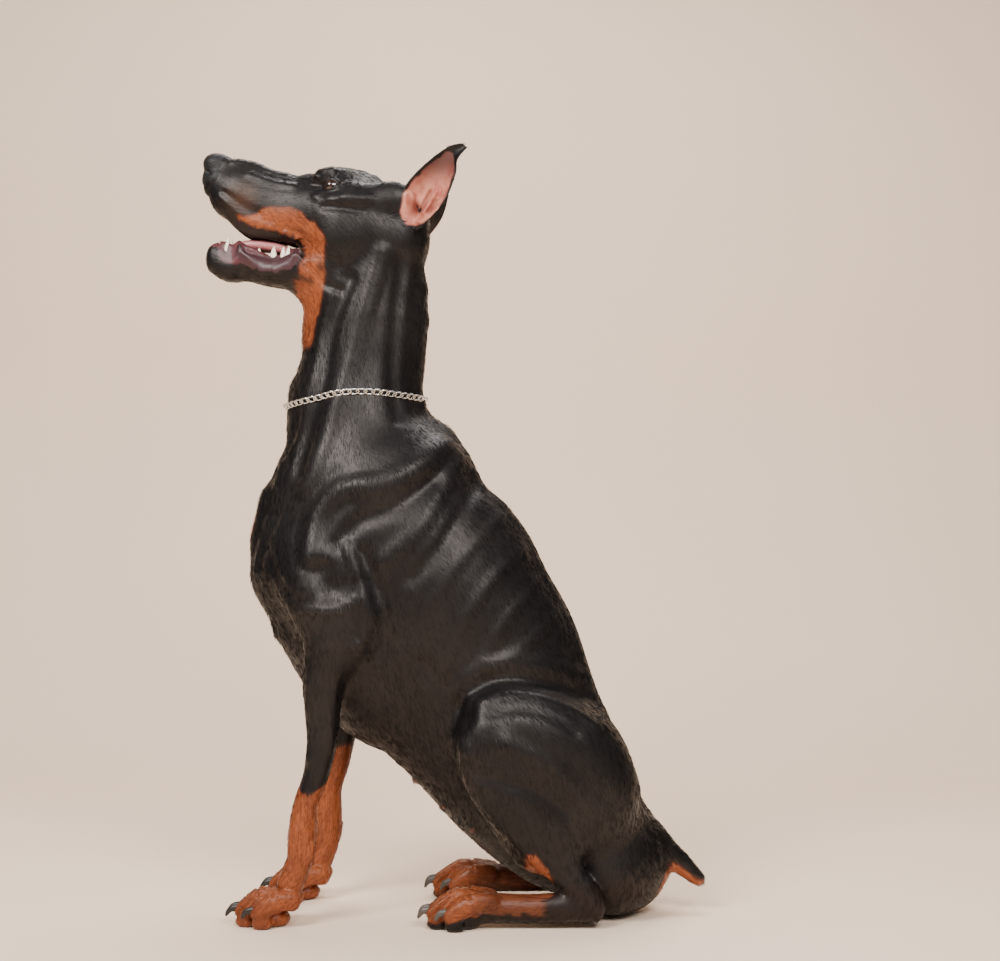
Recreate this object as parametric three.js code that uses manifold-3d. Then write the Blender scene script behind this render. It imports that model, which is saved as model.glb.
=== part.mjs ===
// A sitting Doberman pinscher bitch at life size, as a still museum model.
// Millimetres, +Z up. The animal faces -X, its left side is towards -Y, and it rests on z = 0.
//
// The body is one rounded form, described by how far a point lies from its skin. It is made of
// tubes through named stations (a centre, half a depth and half a width) and of lumps, which
// flow into each other. That form is faced with triangles, coarse on the trunk and fine on the
// head and feet, and is parted by flat cuts into the parts that a person would name.

import * as THREE from 'three';
import { mergeVertices } from 'three/addons/utils/BufferGeometryUtils.js';
import Module from 'manifold-3d';

const wasm = await Module();
wasm.setup();

// Gaps and the sizes of the facets
const PARTING_GAP = 0.3;
const CLEARANCE = 0.4;
const SNAP = 0.005;
const TRUNK_FACET = [27, 22, 27];
const NECK_FACET = [15, 15, 23];
const THIGH_FACET = [21, 17, 21];
const LEG_FACET = [11, 11, 19];
const HEAD_FACET = [12, 10, 10.4];
const NOSE_FACET = [7, 6, 7];
const JAW_FACET = [12.6, 9, 8.4];
const TONGUE_FACET = [10, 8, 5];
const FOREFOOT_FACET = [11, 7.7, 9];
const HINDFOOT_FACET = [16, 7.7, 9];
const TAIL_FACET = [12, 11, 12];

// Neck from the skull down into the chest, and trunk from the withers to the rump: x, y, z, half
// depth, half width, and how much wider the back is than the breast
const NECK = [
  [-88, 0, 790, 52, 46, 0],
  [-93, 0, 748, 61, 47, 0],
  [-101, 0, 716, 70, 49, 0],
  [-104, 0, 680, 71, 51, 0],
  [-111, 0, 640, 74, 54, 0],
  [-118, 0, 602, 78, 60, 0],
  [-114, 0, 560, 80, 66, 0],
];
const TRUNK = [
  [-93, 0, 505, 127, 89, 0.05],
  [-89, 0, 455, 145, 98, 0.08],
  [-65, 0, 397, 159, 101, 0.1],
  [-28, 0, 338, 161, 100, 0.1],
  [20, 0, 283, 144, 92, 0.06],
  [62, 0, 216, 124, 78, 0],
  [100, 0, 160, 111, 74, 0],
  [142, 0, 108, 93, 78, 0],
  [192, 0, 64, 68, 72, 0],
];

// Head, from the muzzle back to the occiput; a negative last number widens the lower side
const SKULL = [
  [-278, 0, 870, 25, 18, -0.05],
  [-261, 0, 859, 37, 25, -0.1],
  [-238, 0, 848, 42, 28, -0.12],
  [-209, 0, 840, 40, 31, -0.12],
  [-187, 0, 836, 39, 36, -0.08],
  [-165, 0, 831, 47, 43, -0.02],
  [-143, 0, 825, 57, 50, 0],
  [-118, 0, 818, 58, 52, 0],
  [-92, 0, 811, 53, 51, 0],
  [-68, 0, 809, 48, 46, 0],
];

// Lower jaw, from the chin back to its angle
const JAW = [
  [-284, 0, 771, 11, 16, 0],
  [-267, 0, 766, 15, 20, 0],
  [-245, 0, 764, 15, 24, 0],
  [-221, 0, 757, 14, 28, 0],
  [-199, 0, 755, 16, 32, 0],
  [-180, 0, 757, 25, 37, 0],
  [-152, 0, 764, 38, 43, 0],
];

// Space inside the open mouth, from the front back to the throat
const MOUTH = [
  [-284, 0, 806, 19, 13, 0],
  [-264, 0, 803, 23, 17, 0],
  [-241, 0, 796, 23, 20, 0],
  [-215, 0, 789, 19, 23, 0],
  [-188, 0, 783, 9, 23, 0],
];

// Left foreleg from the upper arm to the pastern
const FORELEG = [
  [-150, -76, 385, 46, 30, 0],
  [-134, -78, 345, 44, 30, 0],
  [-137, -78, 312, 35, 27, 0],
  [-147, -77, 280, 25, 23, 0],
  [-147, -76, 245, 21, 20, 0],
  [-148, -75, 208, 18, 18, 0],
  [-155, -75, 172, 16, 17, 0],
  [-167, -75, 138, 15.5, 17, 0],
  [-171, -75, 103, 17.5, 18, 0],
  [-173, -75, 76, 16.5, 17, 0],
  [-184, -75, 48, 17, 19, 0],
];

// Left thigh from the hip to the knee, and left shank from the knee to the hock
const THIGH = [
  [168, -62, 142, 58, 46, 0],
  [128, -76, 180, 72, 44, 0],
  [80, -90, 208, 66, 40, 0],
  [40, -101, 218, 54, 33, 0],
];
const SHANK = [
  [36, -102, 202, 34, 31, 0],
  [58, -102, 158, 40, 31, 0],
  [96, -98, 108, 30, 25, 0],
  [132, -93, 64, 20, 17, 0],
  [154, -91, 38, 18, 15, 0],
];

// Left hind foot from the point of the hock to the toes
const METATARSUS = [
  [163, -91, 24, 19, 14, 0],
  [140, -91, 24, 19, 15, 0],
  [90, -90, 22, 18, 16, 0],
  [40, -89, 23, 19, 18, 0],
  [14, -88, 25, 22, 22, 0],
];

// Docked tail from its root to its end
const TAIL = [
  [222, 0, 92, 26, 20, 0],
  [250, 0, 74, 18, 16, 0],
  [273, 0, 55, 14, 13, 0],
  [291, 0, 39, 10, 10, 0],
];

// Muscles and bones that lie under the skin: x, y, z, half length, half width, half height,
// how far the length is tipped down towards the tail in degrees, and how softly it joins.
// A lump away from the middle has its twin on the other side.
const LUMPS = [
  [-100, 56, 470, 100, 36, 44, -50, 16],
  [-150, 56, 404, 60, 44, 54, 30, 16],
  [-110, 70, 366, 58, 32, 44, 34, 16],
  [-195, 20, 413, 42, 44, 60, 0, 16],
  [-157, 0, 327, 52, 42, 36, 30, 16],
  [128, 52, 176, 80, 44, 60, -40, 16],
  [186, 42, 58, 44, 42, 54, 0, 16],
  [108, 78, 116, 56, 32, 58, 20, 16],
  [-128, 37, 799, 31, 16, 34, 0, 8],
  [-147, 28, 866, 16, 14, 12, 10, 6],
  [-112, 30, 840, 44, 22, 22, 12, 8],
  [-142, 0, 742, 42, 36, 34, 30, 14],
  [-60, 0, 790, 32, 40, 38, 0, 12],
  [-279, 0, 886, 13.5, 15, 12.5, 0, 5],
  [-280, 0, 869, 13, 16, 14, 0, 5],
];

// Toes: how far each stands from the middle of its foot and falls short of the longest
const TOE_OFFSETS = [-21.5, -7.5, 7.5, 21.5];
const TOE_SHORTFALLS = [9, 0, 0, 9];
const FORE_FOOT = { x: -249, y: -75, knuckle: 30, lean: 20, claw: 19 };
const HIND_FOOT = { x: -30, y: -88, knuckle: 34, lean: 22, claw: 17 };
const TOE_ROOT_SPREAD = 0.6;
const TOE_DEPTH = 13;
const TOE_WIDTH = 9.5;
const KNUCKLE_HEIGHT = 31;
const TOE_TIP_HEIGHT = 16;
const RIGHT_LEG_SETBACK = 18;

// Pads: how far behind the tip of the toe or foot, then height, half sizes and tilt
const TOE_SOFTNESS = 5;
const TOE_PAD = { back: 15, sizes: [6, 13, 8.5, 9, 0], softness: 4 };
const LARGE_PAD = { back: 46, sizes: [9, 20, 19, 13, 0], softness: 6 };

// Claws: how far beyond the tip of the toe as a share of their length, height and radius
const CLAW_STATIONS = [[-0.6, 17, 4.4], [0.05, 15.5, 3.9], [0.5, 10.5, 3], [0.86, 3.2, 0.7]];

// Eyes
const EYE = new THREE.Vector3(-143, -36.5, 856);
const EYE_RADIUS = 10.5;
const LID_THICKNESS = 2.4;
const GAZE = new THREE.Vector3(-0.62, -0.76, 0.14).normalize();
const EYE_OPENING = { length: 21, height: 12.5, slant: 0.16 };

// Left ear: the front and rear edges from the root to the tip, and the cup between them
const EAR_FRONT = [
  [-60, -44, 830],
  [-53, -46, 848],
  [-42, -47, 865],
  [-16, -52, 887],
  [10, -57, 902],
];
const EAR_REAR = [
  [-42, -46, 802],
  [-29, -52, 812],
  [-7, -55, 838],
  [4, -58, 868],
  [16, -59, 897],
];
const EAR_CUP_DEPTHS = [17, 19, 17, 11, 2];
const EAR_THICKNESSES = [7, 5.5, 4.5, 3.8, 3];
const RIGHT_EAR_ADVANCE = 12;

// Nose, teeth and tongue
const NOSTRIL = { x: -291, y: 9.5, z: 879, radius: 4.2, depth: 14, slit: 14 };
const LOWER_TEETH = [
  // x, y, root z, height, half length, flatness across, lean towards the front
  [-284, 2.6, 774, 13, 2.3, 1, 2],
  [-283, 7.2, 775, 14, 2.5, 1, 2],
  [-267, 13.5, 770, 32, 4.1, 1, 3],
  [-254, 17.5, 766, 16, 3, 0.7, 0],
  [-241, 19, 765, 18, 4, 0.65, 0],
  [-228, 20.5, 764, 21, 5.6, 0.6, 0],
  [-211.5, 22, 765, 23, 6.6, 0.6, 0],
  [-194, 23.5, 767, 19, 8, 0.6, 0],
];
const UPPER_TEETH = [
  [-279, 3, 852, -17, 3, 1, 1],
  [-276, 9, 850, -17, 3.2, 1, 1],
  [-265, 15.5, 846, -26, 4.8, 1, 1],
  [-241, 19, 828, -17, 4.4, 0.65, 0],
  [-227, 20.5, 826, -18, 5.2, 0.6, 0],
  [-211, 22.5, 823, -18, 7, 0.6, 0],
];
const TONGUE = [
  [-263, 0, 786, 5, 10, 0],
  [-250, 0, 788, 7, 14, 0],
  [-230, 0, 787, 7.5, 16, 0],
  [-205, 0, 783, 7, 16, 0],
];

// Chain collar
const CHAIN = {
  x: -117, front: 601, back: 617, thickness: 2.4, links: 32, swell: 0.32, clearance: 1.4,
};

// Sides of the small round pieces, and how a tooth tapers from its root to its tip
const TOOTH_SIDES = 5;
const TOOTH_TAPER = [1, 0.92, 0.5, 0.12];
const CLAW_SIDES = 5;
const CHAIN_SIDES = 5;
const NOSTRIL_SIDES = 8;

// Colours
const BLACK_COAT = { color: 0x17140f, roughness: 0.42, metalness: 0 };
const RUST_COAT = { color: 0x7a4526, roughness: 0.55, metalness: 0 };
const WET_NOSE = { color: 0x0b0b0c, roughness: 0.32, metalness: 0 };
const PINK_FLESH = { color: 0xc4737a, roughness: 0.38, metalness: 0 };
const EYE_GLOSS = { color: 0x1d0f08, roughness: 0.08, metalness: 0 };
const SILVER = { color: 0xc9c7c2, roughness: 0.28, metalness: 1 };

// Where flat cuts part the body: outlines in the plane of x and z
const NOSE_CUT = [[-268, 915], [-281, 853], [-330, 850], [-330, 915]];
const JAW_CUT = [[-340, 806], [-230, 796], [-184, 786], [-177, 780], [-177, 700], [-340, 700]];
const EAR_CUT = [[-46, 940], [-46, 868], [-37, 800], [-37, 786], [60, 786], [60, 940]];
const HEAD_CUT = [[-330, 950], [-330, 700], [-176, 700], [-20, 792], [40, 800], [40, 950]];
const NECK_CUT = [[40, 800], [-20, 792], [-176, 700], [-260, 700], [-260, 586], [40, 596]];
const CHEST_CUT = [[40, 596], [-260, 586], [-330, 586], [-330, 130], [-165, 130], [190, 400], [190, 596]];
const RUMP_CUT = [[190, 400], [-165, 130], [-165, -20], [340, -20], [340, 400]];
const FORELEG_CUT = [[-262, 348], [-66, 348], [-66, 238], [-96, 62], [-262, 62]];
const FOREFOOT_CUT = [[-262, 62], [-96, 62], [-96, -20], [-330, -20], [-330, 62]];
const THIGH_CUT = [
  [-16, 62], [-18, 160], [-12, 240], [6, 268], [34, 284], [75, 290], [115, 284], [160, 264],
  [204, 226], [228, 180], [238, 120], [232, -20], [188, -20], [188, 49], [40, 49], [24, 62],
];
const HINDFOOT_CUT = [[-90, 62], [24, 62], [40, 49], [188, 49], [188, -20], [-90, -20]];
const TAIL_CUT = [[246, 112], [240, 60], [240, -20], [340, -20], [340, 112]];
const FORELEG_INSIDE = 47;
const FOREFOOT_INSIDE = 30;
const THIGH_INSIDE = 64;
const EAR_INSIDE = 22;
const TAIL_SIDE = 26;
const SIDE_LIMIT = 190;

// Boxes that are faced with triangles, as a low and a high corner; those of the legs are for the
// right side
const HEAD_BOX = [[-312, -78, 690], [20, 78, 915]];
const NOSE_BOX = [[-312, -40, 835], [-250, 40, 915]];
const JAW_BOX = [[-312, -60, 700], [-160, 60, 815]];
const TONGUE_BOX = [[-280, -30, 765], [-179.5, 30, 800]];
const NECK_BOX = [[-270, -100, 570], [50, 100, 830]];
const TRUNK_BOX = [[-320, -160, -8], [262, 160, 620]];
const TAIL_BOX = [[215, -50, 5], [310, 50, 125]];
const FORELEG_BOX = [[-250, 36, 40], [-50, 140, 370]];
const FOREFOOT_BOX = [[-290, 36, -8], [-110, 140, 80]];
const THIGH_BOX = [[-50, 48, -8], [256, 180, 320]];
const HINDFOOT_BOX = [[-80, 48, -8], [200, 180, 75]];

// Smooth joins between distances
function joined(a, b, softness) {
  const closeness = Math.max(softness - Math.abs(a - b), 0) / softness;
  return Math.min(a, b) - closeness * closeness * softness / 4;
}

function carved(a, b, softness) {
  return -joined(-a, b, softness);
}

function curveThrough(stations, steps) {
  const points = [];
  const last = stations.length - 1;
  for (let span = 0; span < last; span += 1) {
    const before = stations[Math.max(span - 1, 0)];
    const start = stations[span];
    const end = stations[span + 1];
    const after = stations[Math.min(span + 2, last)];
    for (let step = 0; step < steps; step += 1) {
      const t = step / steps;
      points.push(start.map((value, axis) => {
        const slopeIn = (end[axis] - before[axis]) / 2;
        const slopeOut = (after[axis] - value) / 2;
        const change = end[axis] - value;
        return value + t * (slopeIn + t * (3 * change - 2 * slopeIn - slopeOut
          + t * (slopeIn + slopeOut - 2 * change)));
      }));
    }
  }
  points.push(stations[last].slice());
  return points;
}

// A tube with an elliptical section through stations of x, y, z, depth, width and egg. Its two
// ends are round, and inside it each span is closed by a flatter cap that fills the bends.
const INNER_CAP = 0.3;

function tube(stations, steps = 3) {
  const points = curveThrough(stations, steps);
  const spans = points.slice(1).map((end, i) => {
    const start = points[i];
    const along = new THREE.Vector3(end[0] - start[0], end[1] - start[1], end[2] - start[2]);
    const length = along.length();
    along.divideScalar(length);
    const across = new THREE.Vector3(0, 1, 0).addScaledVector(along, -along.y).normalize();
    const deep = new THREE.Vector3().crossVectors(along, across);
    return { start, end, along, across, deep, length };
  });
  spans.forEach((span, i) => {
    span.capBefore = i === 0 ? 1 : INNER_CAP;
    span.capAfter = i === spans.length - 1 ? 1 : INNER_CAP;
  });
  return (x, y, z) => {
    let nearest = Infinity;
    for (const span of spans) {
      const dx = x - span.start[0];
      const dy = y - span.start[1];
      const dz = z - span.start[2];
      const s = dx * span.along.x + dy * span.along.y + dz * span.along.z;
      const t = Math.min(Math.max(s / span.length, 0), 1);
      const beyond = s - t * span.length;
      const depth = span.start[3] + t * (span.end[3] - span.start[3]);
      const width = span.start[4] + t * (span.end[4] - span.start[4]);
      const egg = span.start[5] + t * (span.end[5] - span.start[5]);
      const u = (dx * span.deep.x + dy * span.deep.y + dz * span.deep.z) / depth;
      const widened = width * (1 + egg * Math.min(Math.max(u, -1), 1));
      const v = (dx * span.across.x + dy * span.across.y + dz * span.across.z) / widened;
      const cap = Math.min(depth, width) * (beyond < 0 ? span.capBefore : span.capAfter);
      const w = beyond / cap;
      const reach = Math.sqrt(u * u + v * v + w * w);
      const slope = Math.hypot(u / depth, v / widened, w / cap);
      nearest = Math.min(nearest, reach * (reach - 1) / (slope + 1e-9));
    }
    return nearest;
  };
}

// A rounded lump with its length tipped down towards the tail
function lump([x0, y0, z0, length, width, height, tip]) {
  const angle = THREE.MathUtils.degToRad(tip);
  const cosine = Math.cos(angle);
  const sine = Math.sin(angle);
  return (x, y, z) => {
    const dx = x - x0;
    const dz = z - z0;
    const u = (dx * cosine - dz * sine) / length;
    const v = (y - y0) / width;
    const w = (dx * sine + dz * cosine) / height;
    const reach = Math.sqrt(u * u + v * v + w * w);
    return reach * (reach - 1) / (Math.hypot(u / length, v / width, w / height) + 1e-9);
  };
}

// The same stations on the other side, and moved back towards their lower end
function mirrored(stations, setback = 0) {
  const top = stations[0][2];
  const drop = top - stations[stations.length - 1][2];
  return stations.map(([x, y, z, ...sizes]) => [
    x + setback * Math.min((top - z) / drop, 1), -y, z, ...sizes,
  ]);
}

// The toes of a foot, with a pad under each and a larger one behind them
function footForms(foot) {
  const forms = [];
  TOE_OFFSETS.forEach((offset, i) => {
    const tip = foot.x + TOE_SHORTFALLS[i];
    const y = foot.y + offset;
    const root = foot.y + offset * TOE_ROOT_SPREAD;
    forms.push([tube([
      [tip + foot.knuckle + foot.lean, root, KNUCKLE_HEIGHT - 1, TOE_DEPTH, TOE_WIDTH + 0.5, 0],
      [tip + foot.knuckle, y, KNUCKLE_HEIGHT, TOE_DEPTH, TOE_WIDTH, 0],
      [tip + TOE_DEPTH - 2, y, TOE_TIP_HEIGHT, TOE_DEPTH - 1, TOE_WIDTH - 0.5, 0],
    ], 2), TOE_SOFTNESS]);
    forms.push([lump([tip + TOE_PAD.back, y, ...TOE_PAD.sizes]), TOE_PAD.softness]);
  });
  forms.push([lump([foot.x + LARGE_PAD.back, foot.y, ...LARGE_PAD.sizes]), LARGE_PAD.softness]);
  return forms;
}

const RIGHT_FORE_FOOT = { ...FORE_FOOT, x: FORE_FOOT.x + RIGHT_LEG_SETBACK, y: -FORE_FOOT.y };

// Everything under the skin, in the order in which it is joined
const forms = [
  [tube(TRUNK), 1],
  [tube(NECK), 16],
  [tube(SKULL), 14],
  [tube(TAIL), 12],
  [tube(FORELEG), 22],
  [tube(mirrored(FORELEG, RIGHT_LEG_SETBACK)), 22],
  ...footForms(FORE_FOOT),
  ...footForms(RIGHT_FORE_FOOT),
];
const pairedForms = [
  ...LUMPS.map((row) => [lump(row), row[7]]),
  [tube(mirrored(THIGH)), 24],
  [tube(mirrored(SHANK)), 12],
  [tube(mirrored(METATARSUS)), 8],
  ...footForms({ ...HIND_FOOT, y: -HIND_FOOT.y }),
];
const jawForm = tube(JAW);
const mouthForm = tube(MOUTH);
const JAW_SOFTNESS = 10;
const MOUTH_SOFTNESS = 3;
const FLOOR = 0;

function skinDistance(x, y, z) {
  const side = Math.abs(y);
  let distance = forms[0][0](x, y, z);
  for (let i = 1; i < forms.length; i += 1) {
    distance = joined(distance, forms[i][0](x, y, z), forms[i][1]);
  }
  for (const [form, softness] of pairedForms) {
    distance = joined(distance, form(x, side, z), softness);
  }
  distance = joined(distance, jawForm(x, y, z), JAW_SOFTNESS);
  distance = carved(distance, mouthForm(x, y, z), MOUTH_SOFTNESS);
  return Math.max(distance, FLOOR - z);
}

// Faces the form with triangles inside a box, one vertex for each cell that the skin crosses
function faced(distance, [low, high], cell) {
  const counts = low.map((value, axis) => Math.ceil((high[axis] - value) / cell[axis]) + 3);
  const [nx, ny, nz] = counts;
  const origin = low.map((value, axis) => value - cell[axis]);
  const inBox = (x, y, z) => Math.max(
    distance(x, y, z),
    low[0] - x, x - high[0], low[1] - y, y - high[1], low[2] - z, z - high[2],
  );
  const values = new Float64Array(nx * ny * nz);
  const at = (i, j, k) => (k * ny + j) * nx + i;
  for (let k = 0; k < nz; k += 1) {
    for (let j = 0; j < ny; j += 1) {
      for (let i = 0; i < nx; i += 1) {
        values[at(i, j, k)] = inBox(
          origin[0] + i * cell[0], origin[1] + j * cell[1], origin[2] + k * cell[2],
        );
      }
    }
  }
  uncheckered(values, counts, at);
  const vertexOf = new Int32Array(nx * ny * nz).fill(-1);
  const vertices = [];
  const corners = [0, 1, 2, 3, 4, 5, 6, 7].map((c) => [c & 1, (c >> 1) & 1, c >> 2]);
  const edges = [];
  corners.forEach((a, p) => corners.forEach((b, q) => {
    if (p < q && Math.abs(a[0] - b[0]) + Math.abs(a[1] - b[1]) + Math.abs(a[2] - b[2]) === 1) {
      edges.push([a, b]);
    }
  }));
  for (let k = 0; k < nz - 1; k += 1) {
    for (let j = 0; j < ny - 1; j += 1) {
      for (let i = 0; i < nx - 1; i += 1) {
        const sum = [0, 0, 0];
        let crossings = 0;
        for (const [a, b] of edges) {
          const va = values[at(i + a[0], j + a[1], k + a[2])];
          const vb = values[at(i + b[0], j + b[1], k + b[2])];
          if ((va < 0) !== (vb < 0)) {
            const t = va / (va - vb);
            for (let axis = 0; axis < 3; axis += 1) {
              sum[axis] += a[axis] + t * (b[axis] - a[axis]);
            }
            crossings += 1;
          }
        }
        if (crossings > 0) {
          vertexOf[at(i, j, k)] = vertices.length;
          const cellAt = [i, j, k];
          vertices.push(sum.map((value, axis) => (
            origin[axis] + (cellAt[axis] + value / crossings) * cell[axis]
          )));
        }
      }
    }
  }
  vertices.forEach((vertex) => settle(vertex, inBox, Math.min(...cell)));
  const triangles = [];
  const steps = [[1, 0, 0], [0, 1, 0], [0, 0, 1]];
  for (let k = 1; k < nz - 1; k += 1) {
    for (let j = 1; j < ny - 1; j += 1) {
      for (let i = 1; i < nx - 1; i += 1) {
        const inside = values[at(i, j, k)] < 0;
        steps.forEach((step, axis) => {
          const ahead = values[at(i + step[0], j + step[1], k + step[2])] < 0;
          if (inside !== ahead) {
            const u = steps[(axis + 1) % 3];
            const v = steps[(axis + 2) % 3];
            const ring = [[0, 0], [1, 0], [1, 1], [0, 1]].map(([p, q]) => vertexOf[at(
              i - p * u[0] - q * v[0], j - p * u[1] - q * v[1], k - p * u[2] - q * v[2],
            )]);
            if (!inside) {
              ring.reverse();
            }
            const [a, b, c, d] = ring;
            const shorter = gapBetween(vertices[a], vertices[c]) < gapBetween(vertices[b], vertices[d]);
            triangles.push(...(shorter ? [a, b, c, a, c, d] : [a, b, d, b, c, d]));
          }
        });
      }
    }
  }
  return solidFrom(vertices.flat(), triangles);
}

// Fills one corner of each grid square whose corners lie inside and outside by turns, because
// the skin would meet itself along an edge there
function uncheckered(values, [nx, ny, nz], at) {
  const barelyInside = -0.05;
  const squares = [[[1, 0, 0], [0, 1, 0]], [[0, 1, 0], [0, 0, 1]], [[1, 0, 0], [0, 0, 1]]];
  let filled = true;
  while (filled) {
    filled = false;
    for (let k = 1; k < nz - 2; k += 1) {
      for (let j = 1; j < ny - 2; j += 1) {
        for (let i = 1; i < nx - 2; i += 1) {
          for (const [u, v] of squares) {
            const a = at(i, j, k);
            const b = at(i + u[0], j + u[1], k + u[2]);
            const c = at(i + u[0] + v[0], j + u[1] + v[1], k + u[2] + v[2]);
            const d = at(i + v[0], j + v[1], k + v[2]);
            const inside = [a, b, c, d].map((corner) => values[corner] < 0);
            if (inside[0] === inside[2] && inside[1] === inside[3] && inside[0] !== inside[1]) {
              const [p, q] = inside[0] ? [b, d] : [a, c];
              values[values[p] < values[q] ? p : q] = barelyInside;
              filled = true;
            }
          }
        }
      }
    }
  }
}

function gapBetween(a, b) {
  return Math.hypot(a[0] - b[0], a[1] - b[1], a[2] - b[2]);
}

// Moves a vertex onto the skin along the slope of the distance
function settle(vertex, distance, cell) {
  const probe = 0.2;
  for (let round = 0; round < 4; round += 1) {
    const here = distance(...vertex);
    const slope = [0, 1, 2].map((axis) => {
      const ahead = vertex.slice();
      ahead[axis] += probe;
      return (distance(...ahead) - here) / probe;
    });
    const steepness = slope[0] ** 2 + slope[1] ** 2 + slope[2] ** 2;
    const stride = Math.max(-cell / 3, Math.min(cell / 3, here / Math.max(steepness, 0.25)));
    slope.forEach((value, axis) => {
      vertex[axis] -= stride * value;
    });
  }
}

// Solids, and their joins and cuts
function solidFrom(positions, triangles) {
  return new wasm.Manifold(new wasm.Mesh({
    numProp: 3,
    vertProperties: new Float32Array(positions),
    triVerts: new Uint32Array(triangles),
  }));
}

function solidOf(geometry) {
  const bare = geometry.clone();
  bare.deleteAttribute('normal');
  bare.deleteAttribute('uv');
  const merged = mergeVertices(bare, 1e-4);
  return solidFrom(merged.attributes.position.array, merged.index.array);
}

function geometryOf(solid) {
  const mesh = solid.getMesh();
  const geometry = new THREE.BufferGeometry();
  geometry.setAttribute('position', new THREE.BufferAttribute(new Float32Array(mesh.vertProperties), 3));
  geometry.setIndex(new THREE.BufferAttribute(new Uint32Array(mesh.triVerts), 1));
  geometry.computeVertexNormals();
  return geometry;
}

// Snaps corners to a fine grid, so that slivers left by a cut close up, and drops what closes up
function tidied(geometry) {
  const place = geometry.attributes.position;
  const numbers = new Map();
  const positions = [];
  const renumbered = [];
  for (let i = 0; i < place.count; i += 1) {
    const corner = [place.getX(i), place.getY(i), place.getZ(i)].map((v) => Math.round(v / SNAP));
    const key = corner.join(' ');
    if (!numbers.has(key)) {
      numbers.set(key, numbers.size);
      positions.push(...corner.map((v) => v * SNAP));
    }
    renumbered.push(numbers.get(key));
  }
  const faces = new Map();
  for (let i = 0; i < geometry.index.count; i += 3) {
    const face = [0, 1, 2].map((k) => renumbered[geometry.index.getX(i + k)]);
    if (new Set(face).size === 3) {
      const key = face.slice().sort((a, b) => a - b).join(' ');
      if (faces.has(key)) {
        faces.delete(key);
      } else {
        faces.set(key, face);
      }
    }
  }
  const tidy = new THREE.BufferGeometry();
  tidy.setAttribute('position', new THREE.Float32BufferAttribute(positions, 3));
  tidy.setIndex([...faces.values()].flat());
  tidy.computeVertexNormals();
  return tidy;
}

function largestOf(solid) {
  return solid.decompose().reduce((best, piece) => (piece.volume() > best.volume() ? piece : best));
}

// An outline in x and z, drawn along y between two sides, with its edges moved out by a margin
function slab(outline, sideA, sideB, margin) {
  const area = outline.reduce((sum, [x, z], i) => {
    const [nextX, nextZ] = outline[(i + 1) % outline.length];
    return sum + x * nextZ - nextX * z;
  }, 0);
  const turn = Math.sign(area);
  const normals = outline.map(([x, z], i) => {
    const [nextX, nextZ] = outline[(i + 1) % outline.length];
    const length = Math.hypot(nextX - x, nextZ - z);
    return [turn * (nextZ - z) / length, -turn * (nextX - x) / length];
  });
  const moved = outline.map(([x, z], i) => {
    const a = normals[(i + outline.length - 1) % outline.length];
    const b = normals[i];
    const scale = margin / (1 + a[0] * b[0] + a[1] * b[1]);
    return new THREE.Vector2(x + (a[0] + b[0]) * scale, z + (a[1] + b[1]) * scale);
  });
  const near = Math.min(sideA, sideB) - margin;
  const far = Math.max(sideA, sideB) + margin;
  const geometry = new THREE.ExtrudeGeometry(new THREE.Shape(moved), {
    depth: far - near, bevelEnabled: false,
  });
  geometry.rotateX(Math.PI / 2);
  geometry.translate(0, far, 0);
  return solidOf(geometry);
}

function within(solid, outline, sideA = -SIDE_LIMIT, sideB = SIDE_LIMIT) {
  return solid.intersect(slab(outline, sideA, sideB, -PARTING_GAP / 2));
}

function without(solid, outline, sideA = -SIDE_LIMIT, sideB = SIDE_LIMIT) {
  return solid.subtract(slab(outline, sideA, sideB, PARTING_GAP / 2));
}

// Cuts a solid clear of another that it lies against
function clearOf(solid, other) {
  let cleared = solid;
  const shifts = [[1, 0, 0], [-1, 0, 0], [0, 1, 0], [0, -1, 0], [0, 0, 1], [0, 0, -1]];
  for (const [x, y, z] of shifts) {
    const moved = geometryOf(other);
    moved.translate(x * CLEARANCE, y * CLEARANCE, z * CLEARANCE);
    cleared = cleared.subtract(solidOf(moved));
  }
  return cleared;
}

// A tapered rod through points with a radius at each, flattened across the animal if need be
function rod(points, radii, sides, flatness = 1) {
  const positions = [];
  const triangles = [];
  const up = new THREE.Vector3(0.31, 0.17, 0.93);
  points.forEach((point, i) => {
    const ahead = points[Math.min(i + 1, points.length - 1)];
    const behind = points[Math.max(i - 1, 0)];
    const along = new THREE.Vector3().subVectors(ahead, behind).normalize();
    const side = new THREE.Vector3().crossVectors(up, along).normalize();
    const other = new THREE.Vector3().crossVectors(along, side);
    for (let n = 0; n < sides; n += 1) {
      const angle = n / sides * Math.PI * 2;
      const place = point.clone()
        .addScaledVector(side, Math.cos(angle) * radii[i])
        .addScaledVector(other, Math.sin(angle) * radii[i]);
      positions.push(place.x, point.y + (place.y - point.y) * flatness, place.z);
    }
  });
  const start = positions.length / 3;
  positions.push(...points[0].toArray(), ...points[points.length - 1].toArray());
  const lastRing = (points.length - 1) * sides;
  for (let n = 0; n < sides; n += 1) {
    const next = (n + 1) % sides;
    for (let i = 0; i < points.length - 1; i += 1) {
      const a = i * sides + n;
      const b = i * sides + next;
      triangles.push(a, b, a + sides, b, b + sides, a + sides);
    }
    triangles.push(start, next, n, start + 1, lastRing + n, lastRing + next);
  }
  return solidFrom(positions, triangles);
}

function vectors(rows) {
  return rows.map((row) => new THREE.Vector3(...row));
}

// A tooth leaning from its root to its tip
function tooth([x, y, z, height, half, flatness, lean]) {
  return rod(vectors([
    [x, y, z],
    [x - lean * 0.2, y, z + height * 0.5],
    [x - lean * 0.7, y, z + height * 0.85],
    [x - lean, y, z + height],
  ]), TOOTH_TAPER.map((share) => half * share), TOOTH_SIDES, flatness);
}

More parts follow.
